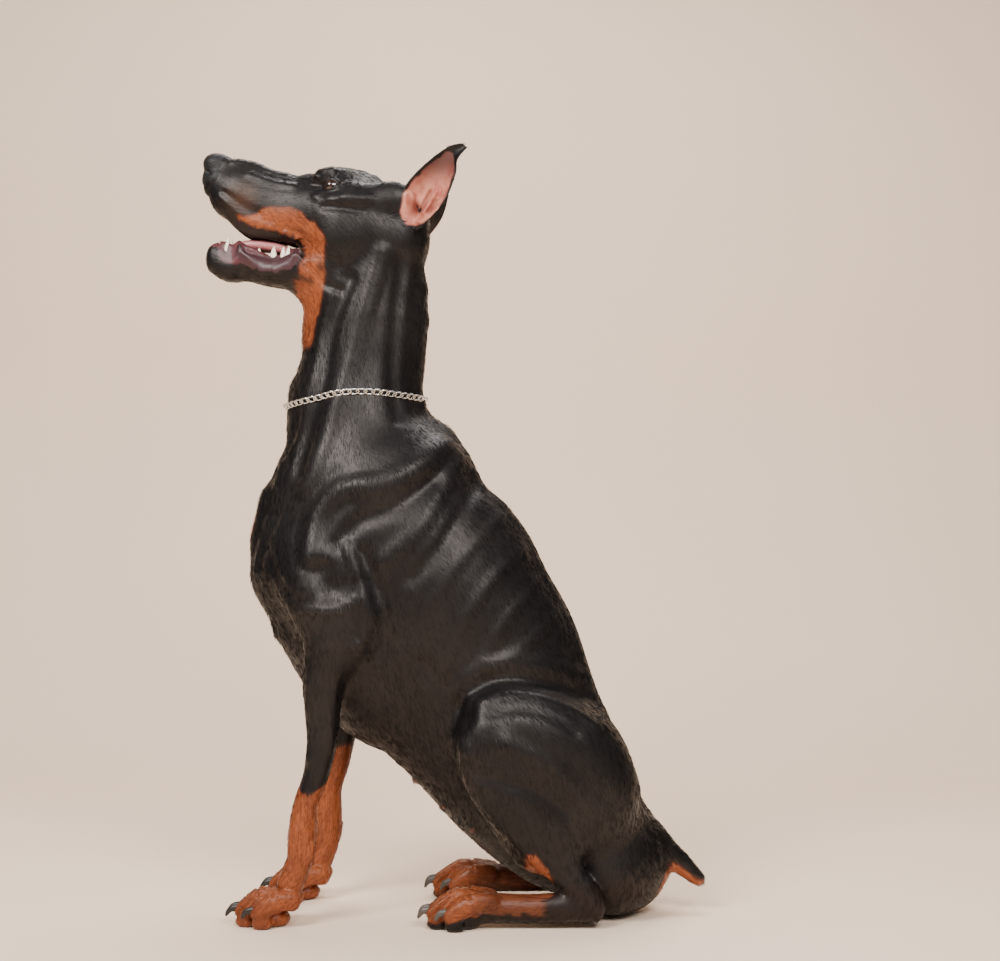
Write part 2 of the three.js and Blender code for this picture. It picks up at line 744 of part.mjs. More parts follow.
function teeth(rows) {
  return rows.flatMap((row) => [tooth(row), tooth([row[0], -row[1], ...row.slice(2)])]);
}

// The claws of a foot, curved down to the floor
function claws(foot) {
  return TOE_OFFSETS.map((offset, i) => {
    const tip = foot.x + TOE_SHORTFALLS[i];
    const y = foot.y + offset;
    const path = CLAW_STATIONS.map(([share, height]) => [tip - foot.claw * share, y, height]);
    return rod(vectors(path), CLAW_STATIONS.map((station) => station[2]), CLAW_SIDES);
  });
}

// The shell of an ear, with its cup open to the side
function earShell(mirror) {
  const rows = 9;
  const columns = 4;
  const advance = mirror > 0 ? 0 : RIGHT_EAR_ADVANCE;
  const front = curveThrough(EAR_FRONT, 2);
  const rear = curveThrough(EAR_REAR, 2);
  const depths = curveThrough(EAR_CUP_DEPTHS.map((value) => [value]), 2);
  const thicknesses = curveThrough(EAR_THICKNESSES.map((value) => [value]), 2);
  const positions = [];
  for (let row = 0; row < rows; row += 1) {
    for (const layer of [0, 1]) {
      for (let column = 0; column <= columns; column += 1) {
        const s = column / columns;
        const arch = 4 * s * (1 - s);
        const inward = depths[row][0] * arch + layer * thicknesses[row][0] * (0.55 + 0.45 * arch);
        positions.push(
          front[row][0] + s * (rear[row][0] - front[row][0]) - advance * row / (rows - 1),
          mirror * (front[row][1] + s * (rear[row][1] - front[row][1]) + inward),
          front[row][2] + s * (rear[row][2] - front[row][2]),
        );
      }
    }
  }
  const ring = 2 * (columns + 1);
  const around = [];
  for (let column = 0; column <= columns; column += 1) {
    around.push(column);
  }
  for (let column = columns; column >= 0; column -= 1) {
    around.push(columns + 1 + column);
  }
  const triangles = [];
  const add = (a, b, c) => triangles.push(...(mirror > 0 ? [a, b, c] : [a, c, b]));
  for (let row = 0; row < rows - 1; row += 1) {
    around.forEach((here, i) => {
      const next = around[(i + 1) % ring];
      const base = row * ring;
      add(base + here, base + next, base + ring + here);
      add(base + next, base + ring + next, base + ring + here);
    });
  }
  const top = (rows - 1) * ring;
  for (let column = 0; column < columns; column += 1) {
    const below = column + columns + 1;
    add(column, below, column + 1);
    add(column + 1, below, below + 1);
    add(top + column, top + column + 1, top + below);
    add(top + column + 1, top + below + 1, top + below);
  }
  return solidFrom(positions, triangles);
}

function ball(centre, radius, detail) {
  const geometry = new THREE.IcosahedronGeometry(radius, detail);
  geometry.translate(centre.x, centre.y, centre.z);
  return solidOf(geometry);
}

// The almond opening between the lids, drawn out along the gaze
function eyeOpening(mirror) {
  const shape = new THREE.Shape();
  const half = EYE_OPENING.length / 2;
  const height = EYE_OPENING.height / 2;
  shape.moveTo(-half, 0);
  shape.quadraticCurveTo(0, height * 2, half, 0);
  shape.quadraticCurveTo(0, -height * 2, -half, 0);
  const geometry = new THREE.ExtrudeGeometry(shape, {
    depth: EYE_RADIUS * 3, bevelEnabled: false, curveSegments: 5,
  });
  const gaze = new THREE.Vector3(GAZE.x, GAZE.y * mirror, GAZE.z);
  const level = new THREE.Vector3(0, 0, 1).cross(gaze).normalize();
  const upright = new THREE.Vector3().crossVectors(gaze, level);
  const slant = EYE_OPENING.slant * mirror;
  const across = level.clone().multiplyScalar(Math.cos(slant)).addScaledVector(upright, Math.sin(slant));
  const upwards = new THREE.Vector3().crossVectors(gaze, across);
  geometry.applyMatrix4(new THREE.Matrix4().makeBasis(across, upwards, gaze));
  geometry.translate(EYE.x, EYE.y * mirror, EYE.z);
  return solidOf(geometry);
}

// The chain, a ring of links that swell and shrink round the neck
function chainCollar() {
  const turns = CHAIN.links * 2;
  const sides = CHAIN_SIDES;
  const points = [];
  const radii = [];
  for (let n = 0; n < turns; n += 1) {
    const angle = n / turns * Math.PI * 2;
    const direction = new THREE.Vector3(Math.cos(angle), Math.sin(angle), 0);
    const z = (CHAIN.front + CHAIN.back) / 2 + (CHAIN.back - CHAIN.front) / 2 * Math.cos(angle);
    let reach = 0;
    for (let depth = skinDistance(CHAIN.x, 0, z); depth < -SNAP;) {
      reach -= depth / 2;
      depth = skinDistance(CHAIN.x + direction.x * reach, direction.y * reach, z);
    }
    reach += CHAIN.thickness * (1 + CHAIN.swell) + CHAIN.clearance;
    points.push(new THREE.Vector3(CHAIN.x + direction.x * reach, direction.y * reach, z));
    radii.push(CHAIN.thickness * (n % 2 === 0 ? 1 + CHAIN.swell : 1 - CHAIN.swell));
  }
  const positions = [];
  const triangles = [];
  const up = new THREE.Vector3(0, 0, 1);
  points.forEach((point, n) => {
    const along = points[(n + 1) % turns].clone().sub(points[(n + turns - 1) % turns]).normalize();
    const outward = new THREE.Vector3().crossVectors(along, up).normalize();
    const upright = new THREE.Vector3().crossVectors(outward, along);
    for (let side = 0; side < sides; side += 1) {
      const angle = side / sides * Math.PI * 2;
      const place = point.clone()
        .addScaledVector(outward, Math.cos(angle) * radii[n])
        .addScaledVector(upright, Math.sin(angle) * radii[n]);
      positions.push(...place.toArray());
      const next = (side + 1) % sides;
      const here = n * sides;
      const ahead = ((n + 1) % turns) * sides;
      triangles.push(here + side, ahead + side, here + next, here + next, ahead + side, ahead + next);
    }
  });
  return solidFrom(positions, triangles);
}

// Assembly
const dog = new THREE.Group();

function place(name, solid, finish) {
  const geometry = tidied(geometryOf(largestOf(solid)));
  const mesh = new THREE.Mesh(geometry, new THREE.MeshStandardMaterial(finish));
  mesh.name = name;
  dog.add(mesh);
}

// Head, with the nose, the lower jaw and the ears parted from it
const headBlock = faced(skinDistance, HEAD_BOX, HEAD_FACET);
const noseBlock = faced(skinDistance, NOSE_BOX, NOSE_FACET);
const jawBlock = faced(skinDistance, JAW_BOX, JAW_FACET);
let head = without(without(within(headBlock, HEAD_CUT), NOSE_CUT), JAW_CUT);
for (const mirror of [1, -1]) {
  const eyeCentre = new THREE.Vector3(EYE.x, EYE.y * mirror, EYE.z);
  head = head.add(earShell(mirror));
  head = head.add(ball(eyeCentre, EYE_RADIUS + LID_THICKNESS, 1));
  head = head.subtract(ball(eyeCentre, EYE_RADIUS + PARTING_GAP, 1));
  head = head.subtract(eyeOpening(mirror));
}
for (const mirror of [1, -1]) {
  const name = mirror > 0 ? 'left' : 'right';
  const earSides = [-EAR_INSIDE * mirror, -SIDE_LIMIT * mirror];
  place(`ear_${name}`, within(earShell(mirror), EAR_CUT, ...earSides), BLACK_COAT);
  head = without(head, EAR_CUT, ...earSides);
  place(`eye_${name}`, ball(new THREE.Vector3(EYE.x, EYE.y * mirror, EYE.z), EYE_RADIUS, 1), EYE_GLOSS);
}
for (const piece of teeth(UPPER_TEETH)) {
  head = head.add(piece);
}
place('head', head, BLACK_COAT);

let nose = within(noseBlock, NOSE_CUT);
for (const side of [1, -1]) {
  nose = nose.subtract(rod(vectors([
    [NOSTRIL.x - NOSTRIL.depth, side * (NOSTRIL.y - 1), NOSTRIL.z],
    [NOSTRIL.x, side * NOSTRIL.y, NOSTRIL.z],
    [NOSTRIL.x + NOSTRIL.slit / 2, side * (NOSTRIL.y + NOSTRIL.slit / 3), NOSTRIL.z - 3],
    [NOSTRIL.x + NOSTRIL.slit / 2 + 1, side * (NOSTRIL.y + NOSTRIL.slit), NOSTRIL.z - 5],
  ]), [1, 1, 0.6, 0.45].map((share) => NOSTRIL.radius * share), NOSTRIL_SIDES));
}
place('nose_pad', nose, WET_NOSE);

let jaw = within(within(jawBlock, HEAD_CUT), JAW_CUT);
for (const piece of teeth(LOWER_TEETH)) {
  jaw = jaw.add(piece);
}
jaw = largestOf(jaw);
place('lower_jaw', jaw, BLACK_COAT);
const tongueBlock = faced(tube(TONGUE), TONGUE_BOX, TONGUE_FACET);
place('tongue', clearOf(clearOf(tongueBlock, jaw), largestOf(head)), PINK_FLESH);

// Neck and trunk
const neck = within(faced(skinDistance, NECK_BOX, NECK_FACET), NECK_CUT);
place('neck', neck, BLACK_COAT);
place('collar_chain', chainCollar(), SILVER);

const trunk = faced(skinDistance, TRUNK_BOX, TRUNK_FACET);
let chest = within(trunk, CHEST_CUT);
let rump = within(trunk, RUMP_CUT);
for (const side of [1, -1]) {
  chest = without(chest, FORELEG_CUT, side * FORELEG_INSIDE, side * SIDE_LIMIT);
  chest = without(chest, THIGH_CUT, side * THIGH_INSIDE, side * SIDE_LIMIT);
  rump = without(rump, FORELEG_CUT, side * FORELEG_INSIDE, side * SIDE_LIMIT);
  rump = without(rump, FOREFOOT_CUT, side * FOREFOOT_INSIDE, side * SIDE_LIMIT);
  rump = without(rump, THIGH_CUT, side * THIGH_INSIDE, side * SIDE_LIMIT);
  rump = without(rump, HINDFOOT_CUT, side * THIGH_INSIDE, side * SIDE_LIMIT);
}
rump = without(rump, TAIL_CUT, -TAIL_SIDE, TAIL_SIDE);
place('chest', chest, BLACK_COAT);
place('rump', rump, BLACK_COAT);
const tailBlock = faced(skinDistance, TAIL_BOX, TAIL_FACET);
place('tail', within(tailBlock, TAIL_CUT, -TAIL_SIDE, TAIL_SIDE), BLACK_COAT);

// Legs and feet of both sides
function onSide([low, high], side) {
  return side > 0 ? [low, high] : [[low[0], -high[1], low[2]], [high[0], -low[1], high[2]]];
}

for (const side of [-1, 1]) {
  const name = side < 0 ? 'left' : 'right';
  const outer = side * SIDE_LIMIT;
  const setback = side < 0 ? 0 : RIGHT_LEG_SETBACK;
  const foreleg = faced(skinDistance, onSide(FORELEG_BOX, side), LEG_FACET);
  place(`foreleg_${name}`, within(foreleg, FORELEG_CUT, side * FORELEG_INSIDE, outer), BLACK_COAT);
  let forefoot = faced(skinDistance, onSide(FOREFOOT_BOX, side), FOREFOOT_FACET);
  forefoot = within(forefoot, FOREFOOT_CUT, side * FOREFOOT_INSIDE, outer);
  for (const claw of claws({ ...FORE_FOOT, x: FORE_FOOT.x + setback, y: FORE_FOOT.y * -side })) {
    forefoot = forefoot.add(claw);
  }
  place(`forefoot_${name}`, forefoot, RUST_COAT);

  const thigh = faced(skinDistance, onSide(THIGH_BOX, side), THIGH_FACET);
  place(`thigh_${name}`, within(thigh, THIGH_CUT, side * THIGH_INSIDE, outer), BLACK_COAT);
  let hindfoot = faced(skinDistance, onSide(HINDFOOT_BOX, side), HINDFOOT_FACET);
  hindfoot = within(hindfoot, HINDFOOT_CUT, side * THIGH_INSIDE, outer);
  for (const claw of claws({ ...HIND_FOOT, y: HIND_FOOT.y * -side })) {
    hindfoot = hindfoot.add(claw);
  }
  place(`hind_foot_${name}`, hindfoot, RUST_COAT);
}

export default dog;
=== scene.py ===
"""The looks of a sitting Doberman pinscher bitch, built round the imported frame.

The skin is one closed form over the whole animal. It repeats the tubes and lumps of the part's
source in millimetres, lies inside them by the depth of the coat, and is sculpted with muscles,
folds, lids, lips and toes. Hair, eyes, teeth, claws and the chain are pieces of their own.
The animal faces -X, its left side is towards -Y, and it rests on z = 0.
"""

import math
from types import SimpleNamespace

import bmesh
import bpy
import numpy as np
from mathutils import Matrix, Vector
from mathutils.bvhtree import BVHTree


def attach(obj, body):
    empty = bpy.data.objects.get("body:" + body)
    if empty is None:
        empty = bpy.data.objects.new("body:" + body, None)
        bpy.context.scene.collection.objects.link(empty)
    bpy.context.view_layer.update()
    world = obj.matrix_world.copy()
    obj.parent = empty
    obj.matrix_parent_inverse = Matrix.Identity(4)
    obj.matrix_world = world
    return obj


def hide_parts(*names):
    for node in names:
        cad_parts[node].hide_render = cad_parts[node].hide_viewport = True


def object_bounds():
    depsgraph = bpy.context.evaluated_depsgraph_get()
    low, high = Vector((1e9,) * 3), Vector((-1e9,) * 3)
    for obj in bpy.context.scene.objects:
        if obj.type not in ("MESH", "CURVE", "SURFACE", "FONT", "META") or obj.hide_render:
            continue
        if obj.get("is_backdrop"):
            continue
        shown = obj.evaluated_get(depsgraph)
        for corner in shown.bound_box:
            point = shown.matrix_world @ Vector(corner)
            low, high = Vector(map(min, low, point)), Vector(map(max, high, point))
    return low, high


bl_info = {
    "name": "Sitting Doberman",
    "version": (1, 0, 0),
    "blender": (4, 5, 0),
    "location": "3D View > Sidebar > Doberman",
    "description": "Builds a life-size sitting Doberman pinscher on its packed frame",
    "category": "Object",
}

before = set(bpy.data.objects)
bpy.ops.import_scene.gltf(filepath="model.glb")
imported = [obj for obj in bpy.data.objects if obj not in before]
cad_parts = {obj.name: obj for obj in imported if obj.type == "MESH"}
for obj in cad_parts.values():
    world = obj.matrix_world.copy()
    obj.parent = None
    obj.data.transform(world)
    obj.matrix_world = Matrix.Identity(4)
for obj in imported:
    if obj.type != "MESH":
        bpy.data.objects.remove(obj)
CAD_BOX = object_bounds()
BODY = "root"
MM = 0.001

# Neck, trunk, head, jaw and mouth: x, y, z, half depth, half width and egg of each station
NECK = (
    (-88, 0, 790, 52, 46, 0), (-93, 0, 748, 61, 47, 0), (-101, 0, 716, 70, 49, 0),
    (-104, 0, 680, 71, 51, 0), (-111, 0, 640, 74, 54, 0), (-118, 0, 602, 78, 60, 0),
    (-114, 0, 560, 80, 66, 0),
)
TRUNK = (
    (-93, 0, 505, 127, 89, 0.05), (-89, 0, 455, 145, 98, 0.08), (-65, 0, 397, 159, 101, 0.1),
    (-28, 0, 338, 161, 100, 0.1), (20, 0, 283, 144, 92, 0.06), (62, 0, 216, 124, 78, 0),
    (100, 0, 160, 111, 74, 0), (142, 0, 108, 93, 78, 0), (192, 0, 64, 68, 72, 0),
)
SKULL = (
    (-278, 0, 870, 25, 18, -0.05), (-261, 0, 859, 37, 25, -0.1), (-238, 0, 848, 42, 28, -0.12),
    (-209, 0, 840, 40, 31, -0.12), (-187, 0, 836, 39, 36, -0.08), (-165, 0, 831, 47, 43, -0.02),
    (-143, 0, 825, 57, 50, 0), (-118, 0, 818, 58, 52, 0), (-92, 0, 811, 53, 51, 0),
    (-68, 0, 809, 48, 46, 0),
)
JAW = (
    (-284, 0, 771, 11, 16, 0), (-267, 0, 766, 15, 20, 0), (-245, 0, 764, 15, 24, 0),
    (-221, 0, 757, 14, 28, 0), (-199, 0, 755, 16, 32, 0), (-180, 0, 757, 25, 37, 0),
    (-152, 0, 764, 38, 43, 0),
)
MOUTH = (
    (-284, 0, 806, 19, 13, 0), (-264, 0, 803, 23, 17, 0), (-241, 0, 796, 23, 20, 0),
    (-215, 0, 789, 19, 23, 0), (-188, 0, 783, 9, 23, 0),
)

# Legs and tail of the left side
FORELEG = (
    (-150, -76, 385, 46, 30, 0), (-134, -78, 345, 44, 30, 0), (-137, -78, 312, 35, 27, 0),
    (-147, -77, 280, 25, 23, 0), (-147, -76, 245, 21, 20, 0), (-148, -75, 208, 18, 18, 0),
    (-155, -75, 172, 16, 17, 0), (-167, -75, 138, 15.5, 17, 0), (-171, -75, 103, 17.5, 18, 0),
    (-173, -75, 76, 16.5, 17, 0), (-184, -75, 48, 17, 19, 0),
)
THIGH = (
    (168, -62, 142, 58, 46, 0), (128, -76, 180, 72, 44, 0), (80, -90, 208, 66, 40, 0),
    (40, -101, 218, 54, 33, 0),
)
SHANK = (
    (36, -102, 202, 34, 31, 0), (58, -102, 158, 40, 31, 0), (96, -98, 108, 30, 25, 0),
    (132, -93, 64, 20, 17, 0), (154, -91, 38, 18, 15, 0),
)
METATARSUS = (
    (163, -91, 24, 19, 14, 0), (140, -91, 24, 19, 15, 0), (90, -90, 22, 18, 16, 0),
    (40, -89, 23, 19, 18, 0), (14, -88, 25, 22, 22, 0),
)
TAIL = (
    (222, 0, 92, 26, 20, 0), (250, 0, 74, 18, 16, 0), (273, 0, 55, 14, 13, 0),
    (291, 0, 39, 10, 10, 0),
)

# Muscles and bones: x, y, z, half length, half width, half height, tip in degrees, softness
LUMPS = (
    (-100, 56, 470, 100, 36, 44, -50, 16), (-150, 56, 404, 60, 44, 54, 30, 16),
    (-110, 70, 366, 58, 32, 44, 34, 16), (-195, 20, 413, 42, 44, 60, 0, 16),
    (-157, 0, 327, 52, 42, 36, 30, 16), (128, 52, 176, 80, 44, 60, -40, 16),
    (186, 42, 58, 44, 42, 54, 0, 16), (108, 78, 116, 56, 32, 58, 20, 16),
    (-128, 37, 799, 31, 16, 34, 0, 8), (-147, 28, 866, 16, 14, 12, 10, 6),
    (-112, 30, 840, 44, 22, 22, 12, 8), (-142, 0, 742, 42, 36, 34, 30, 14),
    (-60, 0, 790, 32, 40, 38, 0, 12), (-279, 0, 886, 13.5, 15, 12.5, 0, 5),
    (-280, 0, 869, 13, 16, 14, 0, 5),
)

# Muscle in front of the ear's root, which the solids do without
EAR_ROOT = (-71, 36, 841, 29, 14, 21, 4, 12)

# Feet, whose outer toes stand further back than the inner ones
TOE_OFFSETS = (-21.5, -7.5, 7.5, 21.5)
TOE_SHORTFALLS = (20, 0, 0, 20)
TOE_ROOT_SPREAD = 0.6
TOE_DEPTH = 13
TOE_WIDTH = 9.5
TOE_SOFTNESS = 5
KNUCKLE_HEIGHT = 31
TOE_TIP_HEIGHT = 16
TOE_PAD = (15, (6, 13, 8.5, 9, 0), 4)
LARGE_PAD = (46, (9, 20, 19, 13, 0), 6)
TOE_GROOVE_DEPTH = 2.4
TOE_GROOVE_WIDTH = 5.5
KNUCKLE_REACH = 10
FORE_FOOT = {"x": -249, "y": -75, "knuckle": 30, "lean": 20, "claw": 14, "pale": 0.0}
HIND_FOOT = {"x": -30, "y": -88, "knuckle": 34, "lean": 22, "claw": 12.5, "pale": 0.75}
RIGHT_LEG_SETBACK = 18

# How softly each form joins the rest
INNER_CAP = 0.3
JAW_SOFTNESS = 10
MOUTH_SOFTNESS = 3


def smooth(low, high, value):
    """Rises smoothly from 0 at low to 1 at high."""
    t = np.clip((value - low) / (high - low), 0, 1)
    return t * t * (3 - 2 * t)


def bell(distance, half_width):
    """Falls smoothly from 1 to 0 at the half width."""
    return np.maximum(1 - (distance / half_width) ** 2, 0) ** 2


def lengths(vectors):
    return np.linalg.norm(vectors, axis=1)


def around(p, centre, reach):
    """Falls smoothly from 1 at the centre to 0 at the reach."""
    return bell(lengths(p - centre), reach)


def folded_over(p, side):
    """The points with both sides of the animal laid on one side, which is -1 for the left."""
    return np.stack([p[:, 0], side * np.abs(p[:, 1]), p[:, 2]], axis=1)


def curve_through(stations, steps):
    """Points on a smooth curve through the stations, with a number of steps to each span."""
    rows = np.array(stations, float)
    points = []
    last = len(rows) - 1
    for span in range(last):
        before = rows[max(span - 1, 0)]
        start = rows[span]
        end = rows[span + 1]
        after = rows[min(span + 2, last)]
        slope_in = (end - before) / 2
        slope_out = (after - start) / 2
        change = end - start
        for step in range(steps):
            t = step / steps
            bend = 3 * change - 2 * slope_in - slope_out + t * (slope_in + slope_out - 2 * change)
            points.append(start + t * (slope_in + t * bend))
    points.append(rows[last])
    return np.array(points)


class Tube:
    """A tube of elliptical sections through stations, as in the part's source."""

    def __init__(self, stations, softness, steps=3):
        self.softness = softness
        self.points = curve_through(stations, steps)
        reach = self.points[:, 3:5].max(axis=1)[:, None]
        self.low = (self.points[:, :3] - reach).min(axis=0)
        self.high = (self.points[:, :3] + reach).max(axis=0)

    def distance(self, p):
        nearest = np.full(len(p), np.inf)
        last = len(self.points) - 2
        for i in range(last + 1):
            start = self.points[i]
            end = self.points[i + 1]
            along = end[:3] - start[:3]
            length = np.linalg.norm(along)
            along = along / length
            across = np.array([0, 1, 0]) - along * along[1]
            across = across / np.linalg.norm(across)
            deep = np.cross(along, across)
            offset = p - start[:3]
            s = offset @ along
            t = np.clip(s / length, 0, 1)
            beyond = s - t * length
            depth = start[3] + t * (end[3] - start[3])
            width = start[4] + t * (end[4] - start[4])
            egg = start[5] + t * (end[5] - start[5])
            u = (offset @ deep) / depth
            widened = width * (1 + egg * np.clip(u, -1, 1))
            v = (offset @ across) / widened
            share = np.where(beyond < 0, 1 if i == 0 else INNER_CAP, 1 if i == last else INNER_CAP)
            cap = np.minimum(depth, width) * share
            w = beyond / cap
            reach = np.sqrt(u * u + v * v + w * w)
            slope = np.sqrt((u / depth) ** 2 + (v / widened) ** 2 + (w / cap) ** 2)
            nearest = np.minimum(nearest, reach * (reach - 1) / (slope + 1e-9))
        return nearest


class Lump:
    """A rounded lump with its length tipped down towards the tail."""

    def __init__(self, row, softness):
        self.softness = softness
        self.centre = np.array(row[:3], float)
        self.sizes = row[3:6]
        self.angle = math.radians(row[6])
        self.low = self.centre - max(self.sizes)
        self.high = self.centre + max(self.sizes)

    def distance(self, p):
        length, width, height = self.sizes
        offset = p - self.centre
        cosine = math.cos(self.angle)
        sine = math.sin(self.angle)
        u = (offset[:, 0] * cosine - offset[:, 2] * sine) / length
        v = offset[:, 1] / width
        w = (offset[:, 0] * sine + offset[:, 2] * cosine) / height
        reach = np.sqrt(u * u + v * v + w * w)
        slope = np.sqrt((u / length) ** 2 + (v / width) ** 2 + (w / height) ** 2)
        return reach * (reach - 1) / (slope + 1e-9)


def mirrored(stations, setback=0):
    """The same stations on the right side, moved back towards their lower end."""
    top = stations[0][2]
    drop = top - stations[-1][2]
    return [
        (x + setback * min((top - z) / drop, 1), -y, z, *sizes) for x, y, z, *sizes in stations
    ]


def toes_of(foot):
    """The x of each toe's tip, and how far the toe lies from the middle of the foot."""
    return [(foot["x"] + shortfall, offset) for offset, shortfall in zip(TOE_OFFSETS, TOE_SHORTFALLS)]


def foot_forms(foot):
    """The toes of a foot with their pads, and the large pad behind them."""
    forms = []
    for tip, offset in toes_of(foot):
        y = foot["y"] + offset
        root = foot["y"] + offset * TOE_ROOT_SPREAD
        knuckle = tip + foot["knuckle"]
        forms.append(Tube((
            (knuckle + foot["lean"], root, KNUCKLE_HEIGHT - 1, TOE_DEPTH, TOE_WIDTH + 0.5, 0),
            (knuckle, y, KNUCKLE_HEIGHT, TOE_DEPTH, TOE_WIDTH, 0),
            (tip + TOE_DEPTH - 2, y, TOE_TIP_HEIGHT, TOE_DEPTH - 1, TOE_WIDTH - 0.5, 0),
        ), TOE_SOFTNESS, 2))
        forms.append(Lump((tip + TOE_PAD[0], y, *TOE_PAD[1]), TOE_PAD[2]))
    forms.append(Lump((foot["x"] + LARGE_PAD[0], foot["y"], *LARGE_PAD[1]), LARGE_PAD[2]))
    return forms


RIGHT_FORE_FOOT = {**FORE_FOOT, "x": FORE_FOOT["x"] + RIGHT_LEG_SETBACK, "y": -FORE_FOOT["y"]}
RIGHT_HIND_FOOT = {**HIND_FOOT, "y": -HIND_FOOT["y"]}
FEET = (FORE_FOOT, RIGHT_FORE_FOOT, HIND_FOOT, RIGHT_HIND_FOOT)
FORMS = [
    Tube(TRUNK, 1, 8), Tube(NECK, 16, 8), Tube(SKULL, 14, 6), Tube(TAIL, 12, 6),
    Tube(FORELEG, 22, 5), Tube(mirrored(FORELEG, RIGHT_LEG_SETBACK), 22, 5),
    *foot_forms(FORE_FOOT), *foot_forms(RIGHT_FORE_FOOT),
]
PAIRED_FORMS = [
    *[Lump(row, row[7]) for row in (*LUMPS, EAR_ROOT)],
    Tube(mirrored(THIGH), 24, 6), Tube(mirrored(SHANK), 12, 6), Tube(mirrored(METATARSUS), 8, 5),
    *foot_forms(RIGHT_HIND_FOOT),
]
JAW_FORM = Tube(JAW, JAW_SOFTNESS)
MOUTH_FORM = Tube(MOUTH, MOUTH_SOFTNESS)
FAR = 60.0


def joined(a, b, softness):
    closeness = np.maximum(softness - np.abs(a - b), 0) / softness
    return np.minimum(a, b) - closeness * closeness * softness / 4


def add_form(distance, form, p):
    """Joins a form to a distance, only where the points lie near the form."""
    reach = FAR + form.softness
    near = np.all((p > form.low - reach) & (p < form.high + reach), axis=1)
    if near.any():
        distance[near] = joined(distance[near], form.distance(p[near]), form.softness)


def body_distance(p):
    """How far points lie outside the solids' own surface, in millimetres."""
    distance = np.full(len(p), 4 * FAR)
    folded = folded_over(p, 1)
    for form in FORMS:
        add_form(distance, form, p)
    for form in PAIRED_FORMS:
        add_form(distance, form, folded)
    add_form(distance, JAW_FORM, p)
    near = np.all((p > MOUTH_FORM.low - FAR) & (p < MOUTH_FORM.high + FAR), axis=1)
    hollow = MOUTH_FORM.distance(p[near])
    distance[near] = -joined(-distance[near], hollow, MOUTH_SOFTNESS)
    return distance


def skin_distance(p, depth):
    """How far points lie outside the skin, which lies under the coat and on the floor."""
    return np.maximum(body_distance(p) + depth, -p[:, 2])


# Skin as a mesh
def filled_squares(values):
    """Fills one corner of each grid square that is inside and outside by turns."""
    barely_inside = -0.05
    found = True
    while found:
        found = False
        for u, v in ((0, 1), (1, 2), (0, 2)):
            size = list(values.shape)
            size[u] -= 1
            size[v] -= 1
            views = []
            for du, dv in ((0, 0), (1, 0), (1, 1), (0, 1)):
                start = [0, 0, 0]
                start[u] = du
                start[v] = dv
                views.append(values[tuple(slice(s, s + n) for s, n in zip(start, size))])
            a, b, c, d = views
            bad = ((a < 0) == (c < 0)) & ((b < 0) == (d < 0)) & ((a < 0) != (b < 0))
            for p, q, other in ((b, d, a), (a, c, b)):
                outside = bad & (other < 0)
                first = outside & (p < q)
                second = outside & ~(p < q)
                p[first] = barely_inside
                q[second] = barely_inside
                found = found or bool(outside.any())
    return values


def surface_net(values, origin, cell):
    """A closed mesh of quads between the inside and the outside of a grid of distances."""
    inside = values < 0
    shape = np.array(values.shape) - 1
    total = np.zeros((*shape, 3))
    crossings = np.zeros(shape)
    corners = [(i, j, k) for i in (0, 1) for j in (0, 1) for k in (0, 1)]

    def corner_view(grid, corner):
        return grid[tuple(slice(c, c + n) for c, n in zip(corner, shape))]

    for a in corners:
        for axis in range(3):
            if a[axis] == 0:
                b = tuple(c + (n == axis) for n, c in enumerate(a))
                va = corner_view(values, a)
                vb = corner_view(values, b)
                cut = corner_view(inside, a) != corner_view(inside, b)
                t = np.where(cut, va / np.where(cut, va - vb, 1), 0)
                for n in range(3):
                    total[..., n] += np.where(cut, a[n] + (t if n == axis else 0), 0)
                crossings += cut
    held = crossings > 0
    number = np.full(shape, -1)
    number[held] = np.arange(held.sum())
    cells = np.argwhere(held)
    vertices = origin + (cells + total[held] / crossings[held][:, None]) * cell
    quads = []
    for axis in range(3):
        u = (axis + 1) % 3
        v = (axis + 2) % 3
        step = np.eye(3, dtype=int)
        ahead = np.roll(inside, -1, axis=axis)
        edge = inside != ahead
        edge[tuple(slice(-1, None) if n == axis else slice(None) for n in range(3))] = False
        at = np.argwhere(edge)
        at = at[(at[:, u] > 0) & (at[:, v] > 0)]
        ring = [at - p * step[u] - q * step[v] for p, q in ((0, 0), (1, 0), (1, 1), (0, 1))]
        quad = np.stack([number[tuple(place.T)] for place in ring], axis=1)
        outward = inside[tuple(at.T)]
        quads.append(np.where(outward[:, None], quad, quad[:, ::-1]))
    return vertices, np.concatenate(quads)


def gradient(distance, p, here):
    probe = 0.3
    return np.stack([
        (distance(p + probe * np.eye(3)[axis]) - here) / probe for axis in range(3)
    ], axis=1)


def settled(p, distance, stride, rounds=3):
    """Moves points onto the skin along the slope of the distance."""
    p = p.copy()
    for _ in range(rounds):
        here = distance(p)
        slope = gradient(distance, p, here)
        steepness = np.maximum((slope * slope).sum(axis=1), 0.25)
        p -= np.clip(here / steepness, -stride, stride)[:, None] * slope
    return p


def smoothed(mesh):
    mesh.polygons.foreach_set("use_smooth", [True] * len(mesh.polygons))
    mesh.update()


def placed(name, content):
    """A new object in the scene that holds a mesh, a camera or a lamp."""
    piece = bpy.data.objects.new(name, content)
    bpy.context.scene.collection.objects.link(piece)
    return piece


def mesh_object(name, vertices, faces, scale=MM):
    """A new object from arrays, at the origin, with smooth faces."""
    mesh = bpy.data.meshes.new(name)
    faces = [list(map(int, face)) for face in faces]
    mesh.from_pydata((np.asarray(vertices, float) * scale).tolist(), [], faces)
    smoothed(mesh)
    return placed(name, mesh)


def places(piece):
    """The vertices of a piece, in millimetres."""
    flat = np.empty(len(piece.data.vertices) * 3)
    piece.data.vertices.foreach_get("co", flat)
    return flat.reshape(-1, 3) / MM


